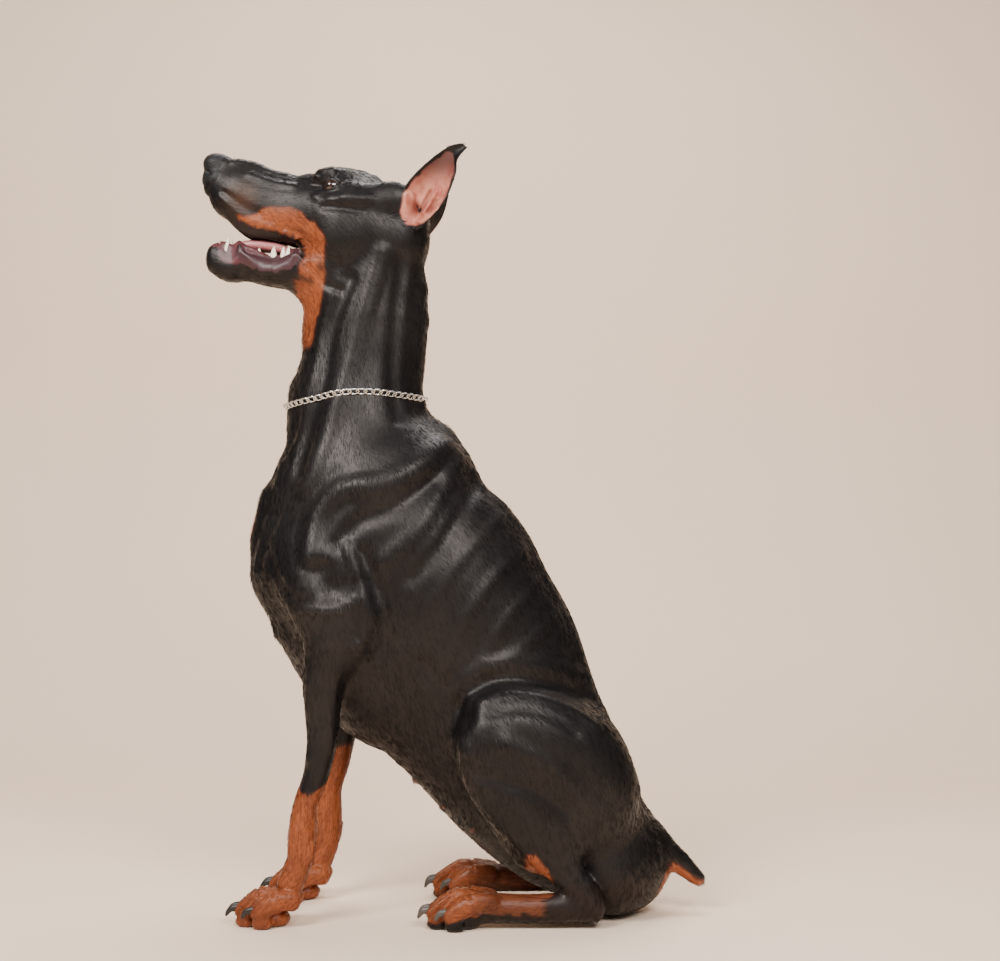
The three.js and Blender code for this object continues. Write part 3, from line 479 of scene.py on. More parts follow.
def move_to(piece, vertices):
    piece.data.vertices.foreach_set("co", (vertices * MM).ravel())
    piece.data.update()


def normals_of(piece):
    flat = np.empty(len(piece.data.vertices) * 3)
    piece.data.vertex_normals.foreach_get("vector", flat)
    return flat.reshape(-1, 3)


def refined(piece, wanted):
    """Cuts each face whose middle is wanted into four."""
    mesh = piece.data
    shape = bmesh.new()
    shape.from_mesh(mesh)
    middles = np.array([face.calc_center_median() for face in shape.faces]) / MM
    chosen = wanted(middles)
    edges = {edge for face, keep in zip(shape.faces, chosen) if keep for edge in face.edges}
    bmesh.ops.subdivide_edges(shape, edges=list(edges), cuts=1, use_grid_fill=True)
    shape.to_mesh(mesh)
    shape.free()
    smoothed(mesh)


def wobble(p, size, seed):
    """Soft random waves between -1 and 1, of a given size in millimetres."""
    q = p / size + seed * 17.3
    cell = np.floor(q)
    f = q - cell
    f = f * f * (3 - 2 * f)
    total = np.zeros(len(p))
    for i in (0, 1):
        for j in (0, 1):
            for k in (0, 1):
                corner = cell + (i, j, k)
                spin = np.sin(corner @ (12.9898, 78.233, 37.719) + seed) * 43758.5453
                value = 2 * (spin - np.floor(spin)) - 1
                share = np.where(i, f[:, 0], 1 - f[:, 0]) * np.where(j, f[:, 1], 1 - f[:, 1])
                total += value * share * np.where(k, f[:, 2], 1 - f[:, 2])
    return total


# Ears: front and rear edge, cup depth and thickness from the root to the tip, left side
EAR_FRONT = (
    (-62, -44, 828), (-56, -46, 848), (-43, -47, 866), (-21, -51, 885), (-1, -55, 897.2),
    (13.5, -58.2, 899.3),
)
EAR_REAR = (
    (-42, -46, 802), (-29, -52, 812), (-8, -55, 836), (4, -58, 865), (6.5, -58.5, 882),
    (17.5, -59.4, 895.5),
)
EAR_CUP_DEPTHS = ((15,), (17,), (15,), (10,), (4,), (1,))
EAR_THICKNESSES = ((6,), (4.6,), (3.8,), (3.2,), (2.6,), (1.6,))
EAR_ROWS_PER_SPAN = 14
EAR_COLUMNS = 30
EAR_RIM = 1.1
RIGHT_EAR_ADVANCE = 20
# How many rings of vertices round an ear's root are softened, and how often
ROOT_RINGS = 3
ROOT_ROUNDS = 6
# The canal: middle in x and z, half width and depth
EAR_CANAL = ((-42.5, 829), 9.0, 4.0)
# Inner ridges: from and to in x and z, half width, height towards the opening
EAR_RIDGES = (
    ((-33, 824), (-18, 848), 3.8, 5.6),
    ((-38, 826), (-25, 850), 3.0, -3.4),
    ((-28, 823), (-18, 838), 2.6, -3.0),
    ((-49, 816), (-32, 811), 4.6, 5.2),
    ((-57, 834), (-50, 818), 4.2, 4.0),
)


def distance_to_segment(p, start, end):
    start = np.array(start, float)
    end = np.array(end, float)
    along = end - start
    t = np.clip((p - start) @ along / (along @ along), 0, 1)
    return lengths(p - start - t[:, None] * along)


def ear_shell(side):
    """The closed shell of an ear, with its inner ridges and the hollow of the canal."""
    front = curve_through(EAR_FRONT, EAR_ROWS_PER_SPAN)
    rear = curve_through(EAR_REAR, EAR_ROWS_PER_SPAN)
    depths = curve_through(EAR_CUP_DEPTHS, EAR_ROWS_PER_SPAN)[:, 0]
    thicknesses = curve_through(EAR_THICKNESSES, EAR_ROWS_PER_SPAN)[:, 0]
    rows = len(front)
    s = np.linspace(0, 1, EAR_COLUMNS + 1)
    arch = 1 - np.abs(2 * s - 1) ** 2.4
    advance = 0 if side < 0 else RIGHT_EAR_ADVANCE
    rings = []
    for row in range(rows):
        share = row / (rows - 1)
        edge = front[row] + s[:, None] * (rear[row] - front[row])
        across = rear[row] - front[row]
        across = across / max(np.linalg.norm(across), 1e-6)
        cup = edge + np.stack([0 * s, depths[row] * arch, 0 * s], axis=1)
        flat = cup[:, [0, 2]]
        canal, radius, depth = EAR_CANAL
        relief = depth * around(flat, canal, radius)
        for start, end, half_width, height in EAR_RIDGES:
            relief = relief - height * bell(distance_to_segment(flat, start, end), half_width)
        inner = cup + np.stack([0 * s, relief * np.minimum(4 * arch, 1), 0 * s], axis=1)
        thickness = thicknesses[row] * (0.5 + 0.5 * arch)
        outer = cup + np.stack([0 * s, thickness + np.maximum(relief, 0), 0 * s], axis=1)
        front_rim = (inner[0] + outer[0]) / 2 - across * EAR_RIM
        rear_rim = (inner[-1] + outer[-1]) / 2 + across * EAR_RIM
        ring = np.concatenate([inner, [rear_rim], outer[::-1], [front_rim]])
        ring[:, 0] -= advance * share
        rings.append(ring)
    points = np.array(rings)
    count = points.shape[1]
    if side > 0:
        points = points * np.array([1, -1, 1])
    faces = []
    for row in range(rows - 1):
        for n in range(count):
            m = (n + 1) % count
            faces.append((row * count + n, row * count + m, (row + 1) * count + m, (row + 1) * count + n))
    faces.append(tuple(range(count))[::-1])
    faces.append(tuple((rows - 1) * count + n for n in range(count)))
    if side > 0:
        faces = [face[::-1] for face in faces]
    return points.reshape(-1, 3), faces


# Strokes of the sculptor, seen from the side: half width, height, then points of x and z
STROKE_STEPS = 16
STROKE_STRENGTH = 1.35
FAR_AWAY = 1200
SIDE_STROKES = (
    # brow, cheek bone and the fold round the corner of the mouth
    (7, 1.8, (-163, 862), (-150, 871), (-134, 873)),
    (9, 1.8, (-158, 843), (-140, 839), (-118, 838), (-96, 838)),
    (7, -1.4, (-150, 829), (-128, 827), (-104, 824)),
    (5, 2.4, (-196, 812), (-183, 803), (-175, 790), (-177, 776)),
    (5, -1.2, (-203, 818), (-187, 812), (-172, 800), (-166, 784)),
    (6, 1.4, (-276, 846), (-258, 834), (-236, 825), (-212, 819), (-190, 812)),
    (5, -1.0, (-270, 852), (-250, 840), (-226, 832)),
    (4.5, 2.0, (-251, 771), (-235, 759), (-222, 754), (-206, 754), (-189, 760), (-178, 768)),
    (5, -1.8, (-242, 770), (-224, 764), (-206, 763), (-190, 769)),
    (8, 1.4, (-238, 872), (-212, 862), (-188, 858)),
    (8, -2.0, (-168, 760), (-150, 742), (-132, 734)),
    # neck: the groove of the throat, and the long muscles behind it
    (15, -3.2, (-120, 745), (-140, 690), (-150, 630), (-165, 575), (-178, 520)),
    (17, 2.8, (-82, 775), (-104, 700), (-120, 640), (-140, 575), (-168, 500)),
    (13, -1.8, (-58, 770), (-66, 700), (-70, 630), (-62, 580)),
    (10, 1.5, (-186, 610), (-196, 560), (-205, 510)),
    # shoulder blade, its spine, and the point of the shoulder
    (20, 4.2, (-4, 556), (-36, 528), (-80, 506), (-126, 498), (-154, 468), (-158, 424)),
    (15, -3.0, (-20, 510), (-62, 478), (-104, 462), (-128, 436)),
    (16, 2.4, (10, 540), (-10, 500), (-40, 452), (-74, 418)),
    (13, -2.4, (30, 520), (14, 478), (-12, 432), (-44, 398)),
    (24, -5.5, (-146, 404), (-138, 388)),
    (8, 3.0, (-186, 372), (-165, 362), (-128, 362), (-104, 374)),
    (8, 3.6, (-120, 438), (-104, 396), (-93, 352), (-102, 322)),
    (9, -3.4, (-100, 430), (-84, 392), (-74, 350), (-80, 312)),
    (13, 4.0, (-110, 322), (-100, 314)),
    (8, 2.2, (-232, 418), (-214, 378), (-190, 346)),
    (10, -2.0, (-214, 430), (-196, 392), (-176, 366)),
    # ribs and flank
    (10, 1.3, (60, 470), (20, 430), (-20, 372), (-40, 316)),
    (10, 1.3, (84, 434), (44, 392), (8, 336), (-10, 284)),
    (10, 1.2, (106, 398), (66, 354), (32, 300), (16, 250)),
    (10, 1.0, (126, 360), (92, 326), (62, 306), (40, 300)),
    (16, -2.5, (-30, 300), (0, 262), (20, 240)),
    # thigh: the flank fold over it, the knee, and the parting of its muscles
    (12, -3.6, (4, 232), (8, 255), (24, 272), (56, 283), (100, 279), (144, 265), (182, 243)),
    (15, 2.2, (2, 264), (22, 288), (58, 302), (104, 299), (150, 284), (192, 258)),
    (11, 2.2, (34, 258), (64, 267), (104, 262), (140, 248), (168, 228)),
    (8, -1.6, (44, 246), (76, 251), (112, 243), (142, 225)),
    (18, 2.6, (8, 222), (16, 204)),
    (12, -2.4, (30, 180), (60, 172), (96, 160), (130, 138)),
    (16, 1.8, (60, 214), (96, 196), (134, 168), (170, 130)),
    (9, 1.6, (36, 150), (60, 118), (90, 84), (116, 56)),
    (8, 2.2, (122, 120), (140, 84), (158, 52)),
    (7, -2.4, (104, 110), (124, 78), (142, 52)),
    # forearm, wrist and pastern
    (8, 1.8, (-150, 322), (-160, 280), (-164, 236), (-162, 190)),
    (5, -1.6, (-140, 310), (-148, 262), (-149, 210), (-156, 160)),
    (7, 1.2, (-126, 300), (-134, 250), (-136, 200)),
    (8, 1.4, (-176, 112), (-182, 96), (-184, 82)),
    (8, 3.0, (-158, 92), (-160, 76)),
    (6, -1.2, (-164, 140), (-160, 116)),
    (7, 1.2, (-186, 66), (-196, 54)),
)

# Strokes seen from ahead: half width, height, then points of y and z, for the left side
FRONT_STROKES = (
    (9, -2.4, (0, 440), (0, 410), (0, 350), (0, 300)),
    (28, 4.6, (0, 728), (0, 706), (0, 688)),
    (30, 3.4, (0, 615), (0, 580)),
    (42, 4.4, (0, 482), (0, 448)),
    (24, 2.6, (0, 402), (0, 380)),
    (14, 2.4, (-16, 500), (-20, 440), (-18, 380), (-10, 330)),
    (12, -2.6, (-52, 470), (-50, 420), (-44, 370), (-40, 330)),
    (12, -2.4, (-34, 590), (-26, 550), (-14, 520)),
)

# Strokes seen from above, with points of x and y, and from behind, with points of y and z
TOP_STROKES = (
    (22, 2.2, (-288, 0), (-262, 0), (-238, 0)),
    (24, 1.6, (-192, 0), (-172, 0)),
    (34, 4.2, (-134, 0), (-110, 0)),
    (18, 2.4, (-170, -16), (-160, -20)),
    (20, 1.6, (-146, -24), (-134, -26)),
    (18, 2.8, (-134, -26), (-118, -26)),
    (26, 1.4, (-96, 0), (-84, 0)),
    (6, -1.6, (-190, 0), (-160, 0), (-130, 0), (-100, 0)),
    (10, 1.6, (-92, 0), (-72, 0)),
    (5, 0.9, (-262, -8), (-230, -9), (-200, -10)),
)
BACK_STROKES = (
    (26, -4.4, (0, 806), (0, 780)),
    (32, 3.4, (0, 735), (0, 700), (0, 660), (0, 620)),
    (32, 4.6, (0, 592), (0, 572)),
    (10, -1.6, (0, 540), (0, 480), (0, 420), (0, 340), (0, 260), (0, 180)),
    (15, 1.6, (-22, 520), (-24, 440), (-24, 340), (-22, 240)),
    (12, -2.2, (-30, 90), (-28, 60), (-26, 36)),
)
STROKES = {"side": SIDE_STROKES, "front": FRONT_STROKES, "back": BACK_STROKES, "top": TOP_STROKES}


def hit_points(tree, path, view, side, setback):
    """Where the points of a stroke lie on the skin, seen from a view."""
    points = []
    for a, b in curve_through(path, STROKE_STEPS):
        if view == "side":
            share = (FORELEG[0][2] - b) / (FORELEG[0][2] - FORELEG[-1][2])
            start = Vector((a + setback * min(max(share, 0), 1), side * FAR_AWAY, b))
            way = Vector((0, -side, 0))
        elif view == "front":
            start = Vector((-FAR_AWAY, -a * side, b))
            way = Vector((1, 0, 0))
        elif view == "back":
            start = Vector((FAR_AWAY, -a * side, b))
            way = Vector((-1, 0, 0))
        else:
            start = Vector((a, -b * side, FAR_AWAY))
            way = Vector((0, 0, -1))
        place, normal, _, _ = tree.ray_cast(start, way)
        if place is not None:
            points.append((*place, *normal))
    return np.array(points)


def is_central(path, view):
    """Whether a stroke runs along the middle of the animal and is made only once."""
    axis = {"side": None, "front": 0, "back": 0, "top": 1}[view]
    return axis is not None and all(point[axis] == 0 for point in path)


def stroke_relief(vertices, normals, tree):
    """How far each vertex moves out under all strokes."""
    relief = np.zeros(len(vertices))
    strokes = [(view, *stroke) for view, table in STROKES.items() for stroke in table]
    for view, half_width, height, *path in strokes:
        on_foreleg = view == "side" and path[-1][0] < -80 and path[-1][1] < 330
        for side in (-1,) if is_central(path, view) else (-1, 1):
            setback = RIGHT_LEG_SETBACK if side > 0 and on_foreleg else 0
            points = hit_points(tree, path, view, side, setback)
            if len(points) == 0:
                raise RuntimeError(f"The stroke {path} misses the skin")
            low = points[:, :3].min(axis=0) - half_width
            high = points[:, :3].max(axis=0) + half_width
            near = np.flatnonzero(np.all((vertices > low) & (vertices < high), axis=1))
            gaps = np.linalg.norm(vertices[near][:, None] - points[None, :, :3], axis=2)
            closest = gaps.argmin(axis=1)
            facing = (normals[near] * points[closest, 3:]).sum(axis=1)
            amount = bell(gaps.min(axis=1), half_width) * smooth(0, 0.5, facing)
            if view == "side":
                amount *= smooth(0.2, 0.6, np.abs(normals[near, 1]))
            relief[near] += STROKE_STRENGTH * height * amount
    return relief


# Eyes: centre of the left one, the ball, and the almond opening of the lids
EYE = np.array((-139.4, -33.8, 854.6))
EYE_RADIUS = 10.5
LID_THICKNESS = 1.1
GAZE = np.array((-0.5, -0.86, 0.1))
EYE_OPENING = {"half_length": 10.5, "half_height": 6.0, "slant": 0.16}
LID_SPREAD = 15.0
BEHIND_THE_EYE = 3.0
# How near the slit a vertex has to lie to be laid on it
LID_SNAP = 0.8
# Fold over the lids and crease under it: distance from the slit and half width
LID_FOLD = (7, 3)
LID_CREASE = (4.2, 2)
LID_FOLD_HEIGHT = 0.9


def eye_axes(side):
    """The centre of an eye, and unit vectors along its slit, up across it and out of it."""
    centre = EYE * (1, -side, 1)
    gaze = GAZE * (1, -side, 1)
    gaze = gaze / np.linalg.norm(gaze)
    level = np.cross((0, 0, 1), gaze)
    level = level / np.linalg.norm(level)
    upright = np.cross(gaze, level)
    slant = -EYE_OPENING["slant"] * side
    across = level * math.cos(slant) + upright * math.sin(slant)
    return centre, across, np.cross(gaze, across), gaze


def outside_slit(a, b):
    """How far a point of the eye's own plane lies outside the almond opening."""
    half = EYE_OPENING["half_length"]
    height = EYE_OPENING["half_height"]
    edge = np.abs(b) - height * (1 - (a / half) ** 2)
    return edge / np.sqrt(1 + (2 * height * a / half ** 2) ** 2)


def opened_lids(vertices):
    """Lays the skin round each eye over its ball, and opens it between the lids."""
    vertices = vertices.copy()
    for side in (-1, 1):
        centre, across, upwards, gaze = eye_axes(side)
        offset = vertices - centre
        reach = lengths(offset)
        near = np.flatnonzero((reach < 2.4 * EYE_RADIUS) & (offset @ gaze > 0))
        q = offset[near]
        a = q @ across
        b = q @ upwards
        out = outside_slit(a, b)
        snap = np.abs(out) < LID_SNAP
        b = np.where(snap, b - np.sign(b) * out, b)
        way = a[:, None] * across + b[:, None] * upwards + (q @ gaze)[:, None] * gaze
        distance = lengths(way)
        out = outside_slit(a, b)
        fold = bell(out - LID_FOLD[0], LID_FOLD[1]) * LID_FOLD_HEIGHT
        fold = fold - bell(out - LID_CREASE[0], LID_CREASE[1]) * LID_FOLD_HEIGHT
        rim = EYE_RADIUS + LID_THICKNESS
        lid = rim + 1.2 * smooth(0, 5, out) + np.where(b > 0, 1, 0.5) * fold
        share = 1 - smooth(LID_SPREAD * 0.35, LID_SPREAD, out)
        outer = distance + share * (lid - distance)
        inner = rim - (LID_THICKNESS + BEHIND_THE_EYE) * smooth(0.1, 1.4, -out)
        target = np.where(out < 0, inner, outer)
        vertices[near] = centre + way * (target / distance)[:, None]
    return vertices


# Nostril: middle of its hollow, reach and depth, and the line of its slit with depth and half width
NOSTRIL = ((-292, 9.5, 879), 5.4, 8.0)
NOSTRIL_SLIT = ((-291, 12, 877), (-286, 17, 874.5), (-281, 20, 873))
SLIT_DEPTH = 3.2
SLIT_WIDTH = 3.2
# Bumps on the tip, the base and the bridge of the nose: middle, height and reach
NOSE_BUMPS = (((-289, 0, 889), 3.5, 19), ((-294, 0, 873), 2.6, 12), ((-259, 0, 896), 3.4, 22))
# Leather of the nose: its edge, how far it stands out, and its groove
NOSE_BACK = -270
NOSE_LEAN = 0.26
NOSE_TOP = 897
NOSE_BOTTOM = 863
LEATHER_RISE = 0.7
LEATHER_EDGE = 2.0
GROOVE_DEPTH = 1.4
GROOVE_WIDTH = 2.6


def nose_share(p):
    """1 on the leather of the nose and 0 off it."""
    x, y, z = p.T
    behind = x - (NOSE_BACK - NOSE_LEAN * (NOSE_TOP - z))
    below = NOSE_BOTTOM + 3 * np.abs(y) / 15 - z
    return smooth(1.2, -1.2, np.maximum(behind, below))


def nose_relief(p):
    x, y, z = p.T
    folded = folded_over(p, 1)
    centre, radius, depth = NOSTRIL
    relief = -depth * around(folded, centre, radius)
    slit = np.minimum(
        distance_to_segment(folded, NOSTRIL_SLIT[0], NOSTRIL_SLIT[1]),
        distance_to_segment(folded, NOSTRIL_SLIT[1], NOSTRIL_SLIT[2]),
    )
    relief -= SLIT_DEPTH * bell(slit, SLIT_WIDTH)
    for middle, height, reach in NOSE_BUMPS:
        relief += height * around(p, middle, reach)
    share = nose_share(p)
    relief += LEATHER_RISE * share
    relief -= LEATHER_EDGE * share * (1 - share)
    groove = bell(y, GROOVE_WIDTH) * smooth(-276, -284, x) * smooth(842, 850, z)
    relief -= GROOVE_DEPTH * groove * smooth(890, 884, z)
    return relief


# Markings: outlines in x and z as seen from the side, with the softness of their edges
RUST_FACE = (
    (-254, 826), (-238, 824), (-223, 831), (-195, 832), (-178, 825), (-161, 812), (-150, 797),
    (-147, 781), (-148, 764), (-149, 737), (-156, 711), (-166, 670), (-200, 668), (-200, 722),
    (-186, 735), (-180, 748), (-177, 764), (-173, 774), (-172, 782), (-180, 787), (-192, 791),
    (-206, 796), (-222, 802), (-238, 809), (-252, 818),
)
FORELEG_RUST_TOP = 157
HOCK_PATCH = ((82, 36), (83, 62), (84, 88), (94, 90), (110, 72), (119, 46), (112, 36))
HIND_RUST_HEIGHT = 17
LOWER_LIP = (
    (-257, 772), (-246, 766), (-236, 761), (-222, 756), (-206, 755), (-190, 759), (-178, 768),
    (-178, 786), (-259, 786),
)
FRONT_GUM = ((-279, 792), (-279, 776), (-270, 767), (-253, 764), (-249, 771), (-254, 780), (-260, 792))
EAR_INNER = (
    (-61, 820), (-57, 844), (-45, 861), (-23, 880), (-4, 892), (2, 888), (3, 868), (-4, 846),
    (-15, 824), (-33, 809), (-54, 808),
)
MUZZLE_BROWN = ((-248, 843), 30)
CHEEK_SPOTS = (((-154, 761), (-153, 759), 7.5), ((-184, 752), (-166, 745), 6.5))
BROW_SPOT = ((-154, 25, 873), 8.5)
CHEST_PATCH = ((-232, 24, 462), (40, 15, 24))
NIPPLES = ((-61, 155), (-45, 156), (-12, 128), (23, 102))
NIPPLE_SIZE = 6.0
NIPPLE_RISE = 4.5


def mouth_height(x):
    """Height of the mouth's middle line at each x."""
    return np.interp(x, [station[0] for station in MOUTH], [station[2] for station in MOUTH])


def outline_share(flat, outline, softness):
    """1 inside an outline in x and z, 0 outside it, and soft across its edge."""
    corners = np.array(outline, float)
    inside = np.zeros(len(flat), bool)
    nearest = np.full(len(flat), np.inf)
    for start, end in zip(corners, np.roll(corners, -1, axis=0)):
        nearest = np.minimum(nearest, distance_to_segment(flat, start, end))
        rise = end[1] - start[1]
        crosses = (start[1] > flat[:, 1]) != (end[1] > flat[:, 1])
        at = start[0] + (flat[:, 1] - start[1]) * (end[0] - start[0]) / (rise if rise else 1)
        inside ^= crosses & (flat[:, 0] < at)
    return smooth(softness, -softness, np.where(inside, -nearest, nearest))


def markings(p, normals):
    """Where each colour of the animal and the painted shade lie, as shares from 0 to 1."""
    x, y, z = p.T
    plain = p[:, [0, 2]]
    flat = plain + 2.4 * np.stack([wobble(p, 9, 1), wobble(p, 9, 2)], axis=1)
    side = np.abs(y)
    front_leg = (x < -96) & (side > 34) & (z < 330)
    hind_leg = (x > -70) & (side > 58) & (z < 130)
    outward = normals[:, 1] * np.sign(y)
    shares = {}
    face = outline_share(flat, RUST_FACE, 5.0) * (z > 640)
    chin = smooth(-0.35, -0.8, normals[:, 2]) * smooth(-196, -178, x) * (z > 700)
    chin = chin * smooth(-120, -150, x) * (z < 770)
    top = FORELEG_RUST_TOP + 36 * smooth(0.2, -0.6, outward) + 8 * wobble(p, 14, 5)
    fore = front_leg * smooth(top + 7, top - 7, flat[:, 1])
    hock = outline_share(flat, HOCK_PATCH, 3.0) * hind_leg
    low_edge = HIND_RUST_HEIGHT - 9 * smooth(30, -10, x) + 3 * wobble(p, 12, 6)
    paw = hind_leg * smooth(118, 96, flat[:, 0]) * smooth(50, 46, flat[:, 1])
    paw = paw * smooth(low_edge - 3, low_edge + 3, flat[:, 1])
    brow_centre, brow_radius = BROW_SPOT
    folded = folded_over(p, 1)
    brow = around(folded, brow_centre, brow_radius)
    patch_centre, patch_sizes = CHEST_PATCH
    chest = smooth(1.2, 0.7, lengths((folded - patch_centre) / patch_sizes))
    chest = chest * smooth(-0.88, -0.96, normals[:, 0])
    vent = smooth(30, 22, side) * smooth(80, 66, z) * smooth(232, 244, x)
    vent = vent * smooth(0.1, -0.4, normals[:, 2])
    inner_thigh = hind_leg * smooth(-0.4, -0.8, outward) * smooth(90, 60, z)
    shares["rust"] = np.clip(np.maximum.reduce([
        face, 0.9 * chin, fore, hock, paw, 0.8 * brow, 0.9 * chest, vent, 0.7 * inner_thigh,
    ]), 0, 1)
    spots_and_shade = np.zeros(len(p))
    for start, end, radius in CHEEK_SPOTS:
        spots_and_shade = np.maximum(spots_and_shade, 0.7 * bell(distance_to_segment(plain, start, end), radius))
    # Painted shade: the rear part of the hind metatarsus, from its middle back, is made darker red-brown
    spots_and_shade = np.maximum(spots_and_shade, 0.6 * hind_leg * smooth(0, 50, x) * smooth(60, 40, z))
    brown_centre, brown_radius = MUZZLE_BROWN
    shares["brown"] = 0.8 * around(plain, brown_centre, brown_radius)
    toes = np.zeros(len(p))
    for foot in FEET:
        for tip, offset in toes_of(foot):
            across = foot["y"] + offset
            streak = distance_to_segment(p, (tip - 2, across, 22), (tip + 20, across, 46))
            toes = np.maximum(toes, 0.7 * bell(streak, 8))
    shares["dark"] = np.clip(np.maximum(spots_and_shade, toes), 0, 1)
    hollow = MOUTH_FORM.distance(p)
    in_head = (z > 700) & (x < -165)
    wet = in_head * smooth(3.4, 2.0, hollow)
    gum = in_head * outline_share(plain, FRONT_GUM, 3.0)
    above = smooth(-2, 4, z - mouth_height(x))
    shares["pink"] = np.clip(np.maximum(wet * (1 - above * smooth(9, 14, side)), 0.58 * gum), 0, 1)
    band = in_head * smooth(9, 6, hollow + 1.5 * wobble(p, 5, 7)) * above
    shares["lip"] = np.clip(band * (1 - shares["pink"]), 0, 1)
    shares["mauve"] = in_head * outline_share(plain, LOWER_LIP, 2.8) * (1 - shares["pink"])
    shares["nose"] = nose_share(p) * (x < -262)
    in_ear = (side > 30) & (x > -66) & (z > 795)
    advance = np.where(y > 0, RIGHT_EAR_ADVANCE * smooth(800, 902, z), 0)
    ear_flat = np.stack([x + advance, z], axis=1)
    ear_flat = ear_flat + 1.2 * np.stack([wobble(p, 5, 8), wobble(p, 5, 9)], axis=1)
    shares["ear"] = in_ear * outline_share(ear_flat, EAR_INNER, 2.0) * smooth(-0.35, 0.05, outward)
    canal, radius, _ = EAR_CANAL
    for teat_x, teat_z in NIPPLES:
        teat = bell(np.hypot(x - teat_x, z - teat_z), NIPPLE_SIZE * 0.8) * (side < 90)
        shares["ear"] = np.maximum(shares["ear"], teat)
    # Painted shade: the share named canal darkens the hollow of the canal and the grooves between the inner
    # ridges
    fold = 0.8 * around(ear_flat, canal, radius * 1.5)
    for start, end, half_width, height in EAR_RIDGES:
        if height < 0:
            fold = np.maximum(fold, 0.6 * bell(distance_to_segment(ear_flat, start, end), half_width * 1.4))
    shares["canal"] = in_ear * fold * smooth(-0.35, 0.05, outward)
    return shares


# How the skin is made: the gums, whose line is given for the right side, then jaw, trunk and brow
GUM_LINE = (
    (-276, 8, 784), (-266, 12, 780), (-254, 14, 775), (-243, 15.5, 773), (-229, 17, 772),
    (-211, 18.5, 772), (-198, 19.5, 773), (-186, 20.5, 775),
)
GUM_RISE = 3.5
GUM_WIDTH = 7.0
CELL = 6.0
# How many cells of the grid make the side of one block of the rough grid
BLOCK = 4
CHIN_RISE = 12.0
CHIN_DROP = 3.0
RIM_RISE = 12.0
CHIN_CREST = 5.0
TRUNK_ROUNDS = 40
TRUNK_FILL = 1.6
NECK_SHARE = 0.45
BROW = (-150, -28, 868)
BROW_REACH = 34
BROW_ROUNDS = 14
# How far the edge of the upper lip hangs down at each x
LIP_DROPS = (
    (-272, 0), (-262, 6), (-250, 11), (-239, 14), (-227, 12.5), (-205, 10), (-187, 8), (-172, 4), (-160, 0),
)
# Waves of the trunk: height, size in millimetres and seed
WAVES = ((0.9, 62, 11), (0.4, 23, 12))
FINE_HEAD = 700
FINE_LEGS = 330


def needs_halving(p):
    """The head, the legs and the feet, which have finer forms than the trunk."""
    x, y, z = p.T
    leg = (z < FINE_LEGS) & (x < -96) & (np.abs(y) > 40)
    foot = (z < 60) & (x < 70) & (np.abs(y) > 50)
    return (z > FINE_HEAD) | leg & (z < 200) | foot


def needs_quartering(p):
    """The lips, the nose, the eyes and the toes."""
    x, y, z = p.T
    folded = folded_over(p, -1)
    eye = lengths(folded - EYE) < 25
    mouth = (x < -168) & (np.abs(MOUTH_FORM.distance(p)) < 9)
    nose = (x < -262) & (z > 850)
    toe = np.zeros(len(p), bool)
    for foot in FEET:
        beside = np.abs(y - foot["y"]) < 40
        toe |= beside & (np.abs(x - foot["x"] - 22) < 24) & (z < 40)
    return eye | mouth | nose | toe & (z > 2)


def toe_relief(p):
    """The grooves between the toes, and a small rise on each knuckle."""
    relief = np.zeros(len(p))
    for foot in FEET:
        for left, right in zip(TOE_OFFSETS, TOE_OFFSETS[1:]):
            middle = foot["y"] + (left + right) / 2
            root = foot["y"] + (left + right) / 2 * TOE_ROOT_SPREAD
            start = (foot["x"] + 6, middle, 12)
            crest = (foot["x"] + foot["knuckle"], middle, KNUCKLE_HEIGHT + 8)
            end = (foot["x"] + foot["knuckle"] + foot["lean"] + 8, root, KNUCKLE_HEIGHT + 12)
            gap = np.minimum(distance_to_segment(p, start, crest), distance_to_segment(p, crest, end))
            relief -= TOE_GROOVE_DEPTH * bell(gap, TOE_GROOVE_WIDTH)
        for tip, offset in toes_of(foot):
            knuckle = (tip + foot["knuckle"], foot["y"] + offset, KNUCKLE_HEIGHT + 12)
            relief += around(p, knuckle, KNUCKLE_REACH)
    return relief


def gum_relief(p):
    """The ridges of gum that hold the teeth."""
    folded = folded_over(p, 1)
    relief = np.zeros(len(p))
    for start, end in zip(GUM_LINE, GUM_LINE[1:]):
        relief = np.maximum(relief, GUM_RISE * bell(distance_to_segment(folded, start, end), GUM_WIDTH))
    return relief


def nipple_relief(p):
    """Two rows of small teats under the belly and the chest."""
    relief = np.zeros(len(p))
    for x, z in NIPPLES:
        flat = np.hypot(p[:, 0] - x, p[:, 2] - z)
        relief += NIPPLE_RISE * bell(flat, NIPPLE_SIZE) * (np.abs(p[:, 1]) < 90)
    return relief


def in_cells(blocks):
    """The values of blocks, repeated for each of their cells."""
    for axis in range(3):
        blocks = np.repeat(blocks, BLOCK, axis)
    return blocks


def skin_values(distance):
    """A grid of distances round the whole animal, worked out near the skin only."""
    low = np.floor(np.array(CAD_BOX[0]) / MM / CELL - 2) * CELL + CELL * 0.46
    counts = np.ceil((np.array(CAD_BOX[1]) / MM - low) / CELL).astype(int) + 3
    coarse = (counts + BLOCK - 1) // BLOCK + 1
    ways = [low[n] + BLOCK * CELL * np.arange(coarse[n]) for n in range(3)]
    rough = distance(np.stack(np.meshgrid(*ways, indexing="ij"), axis=-1).reshape(-1, 3))
    rough = rough.reshape(coarse)
    near = np.abs(rough) < BLOCK * CELL * 2.2
    spread = near.copy()
    for axis in range(3):
        spread |= np.roll(spread, 1, axis) | np.roll(spread, -1, axis)
    values = in_cells(rough)
    wanted = in_cells(spread)
    cells = np.argwhere(wanted)
    values[wanted] = distance(low + cells * CELL)
    return values, low


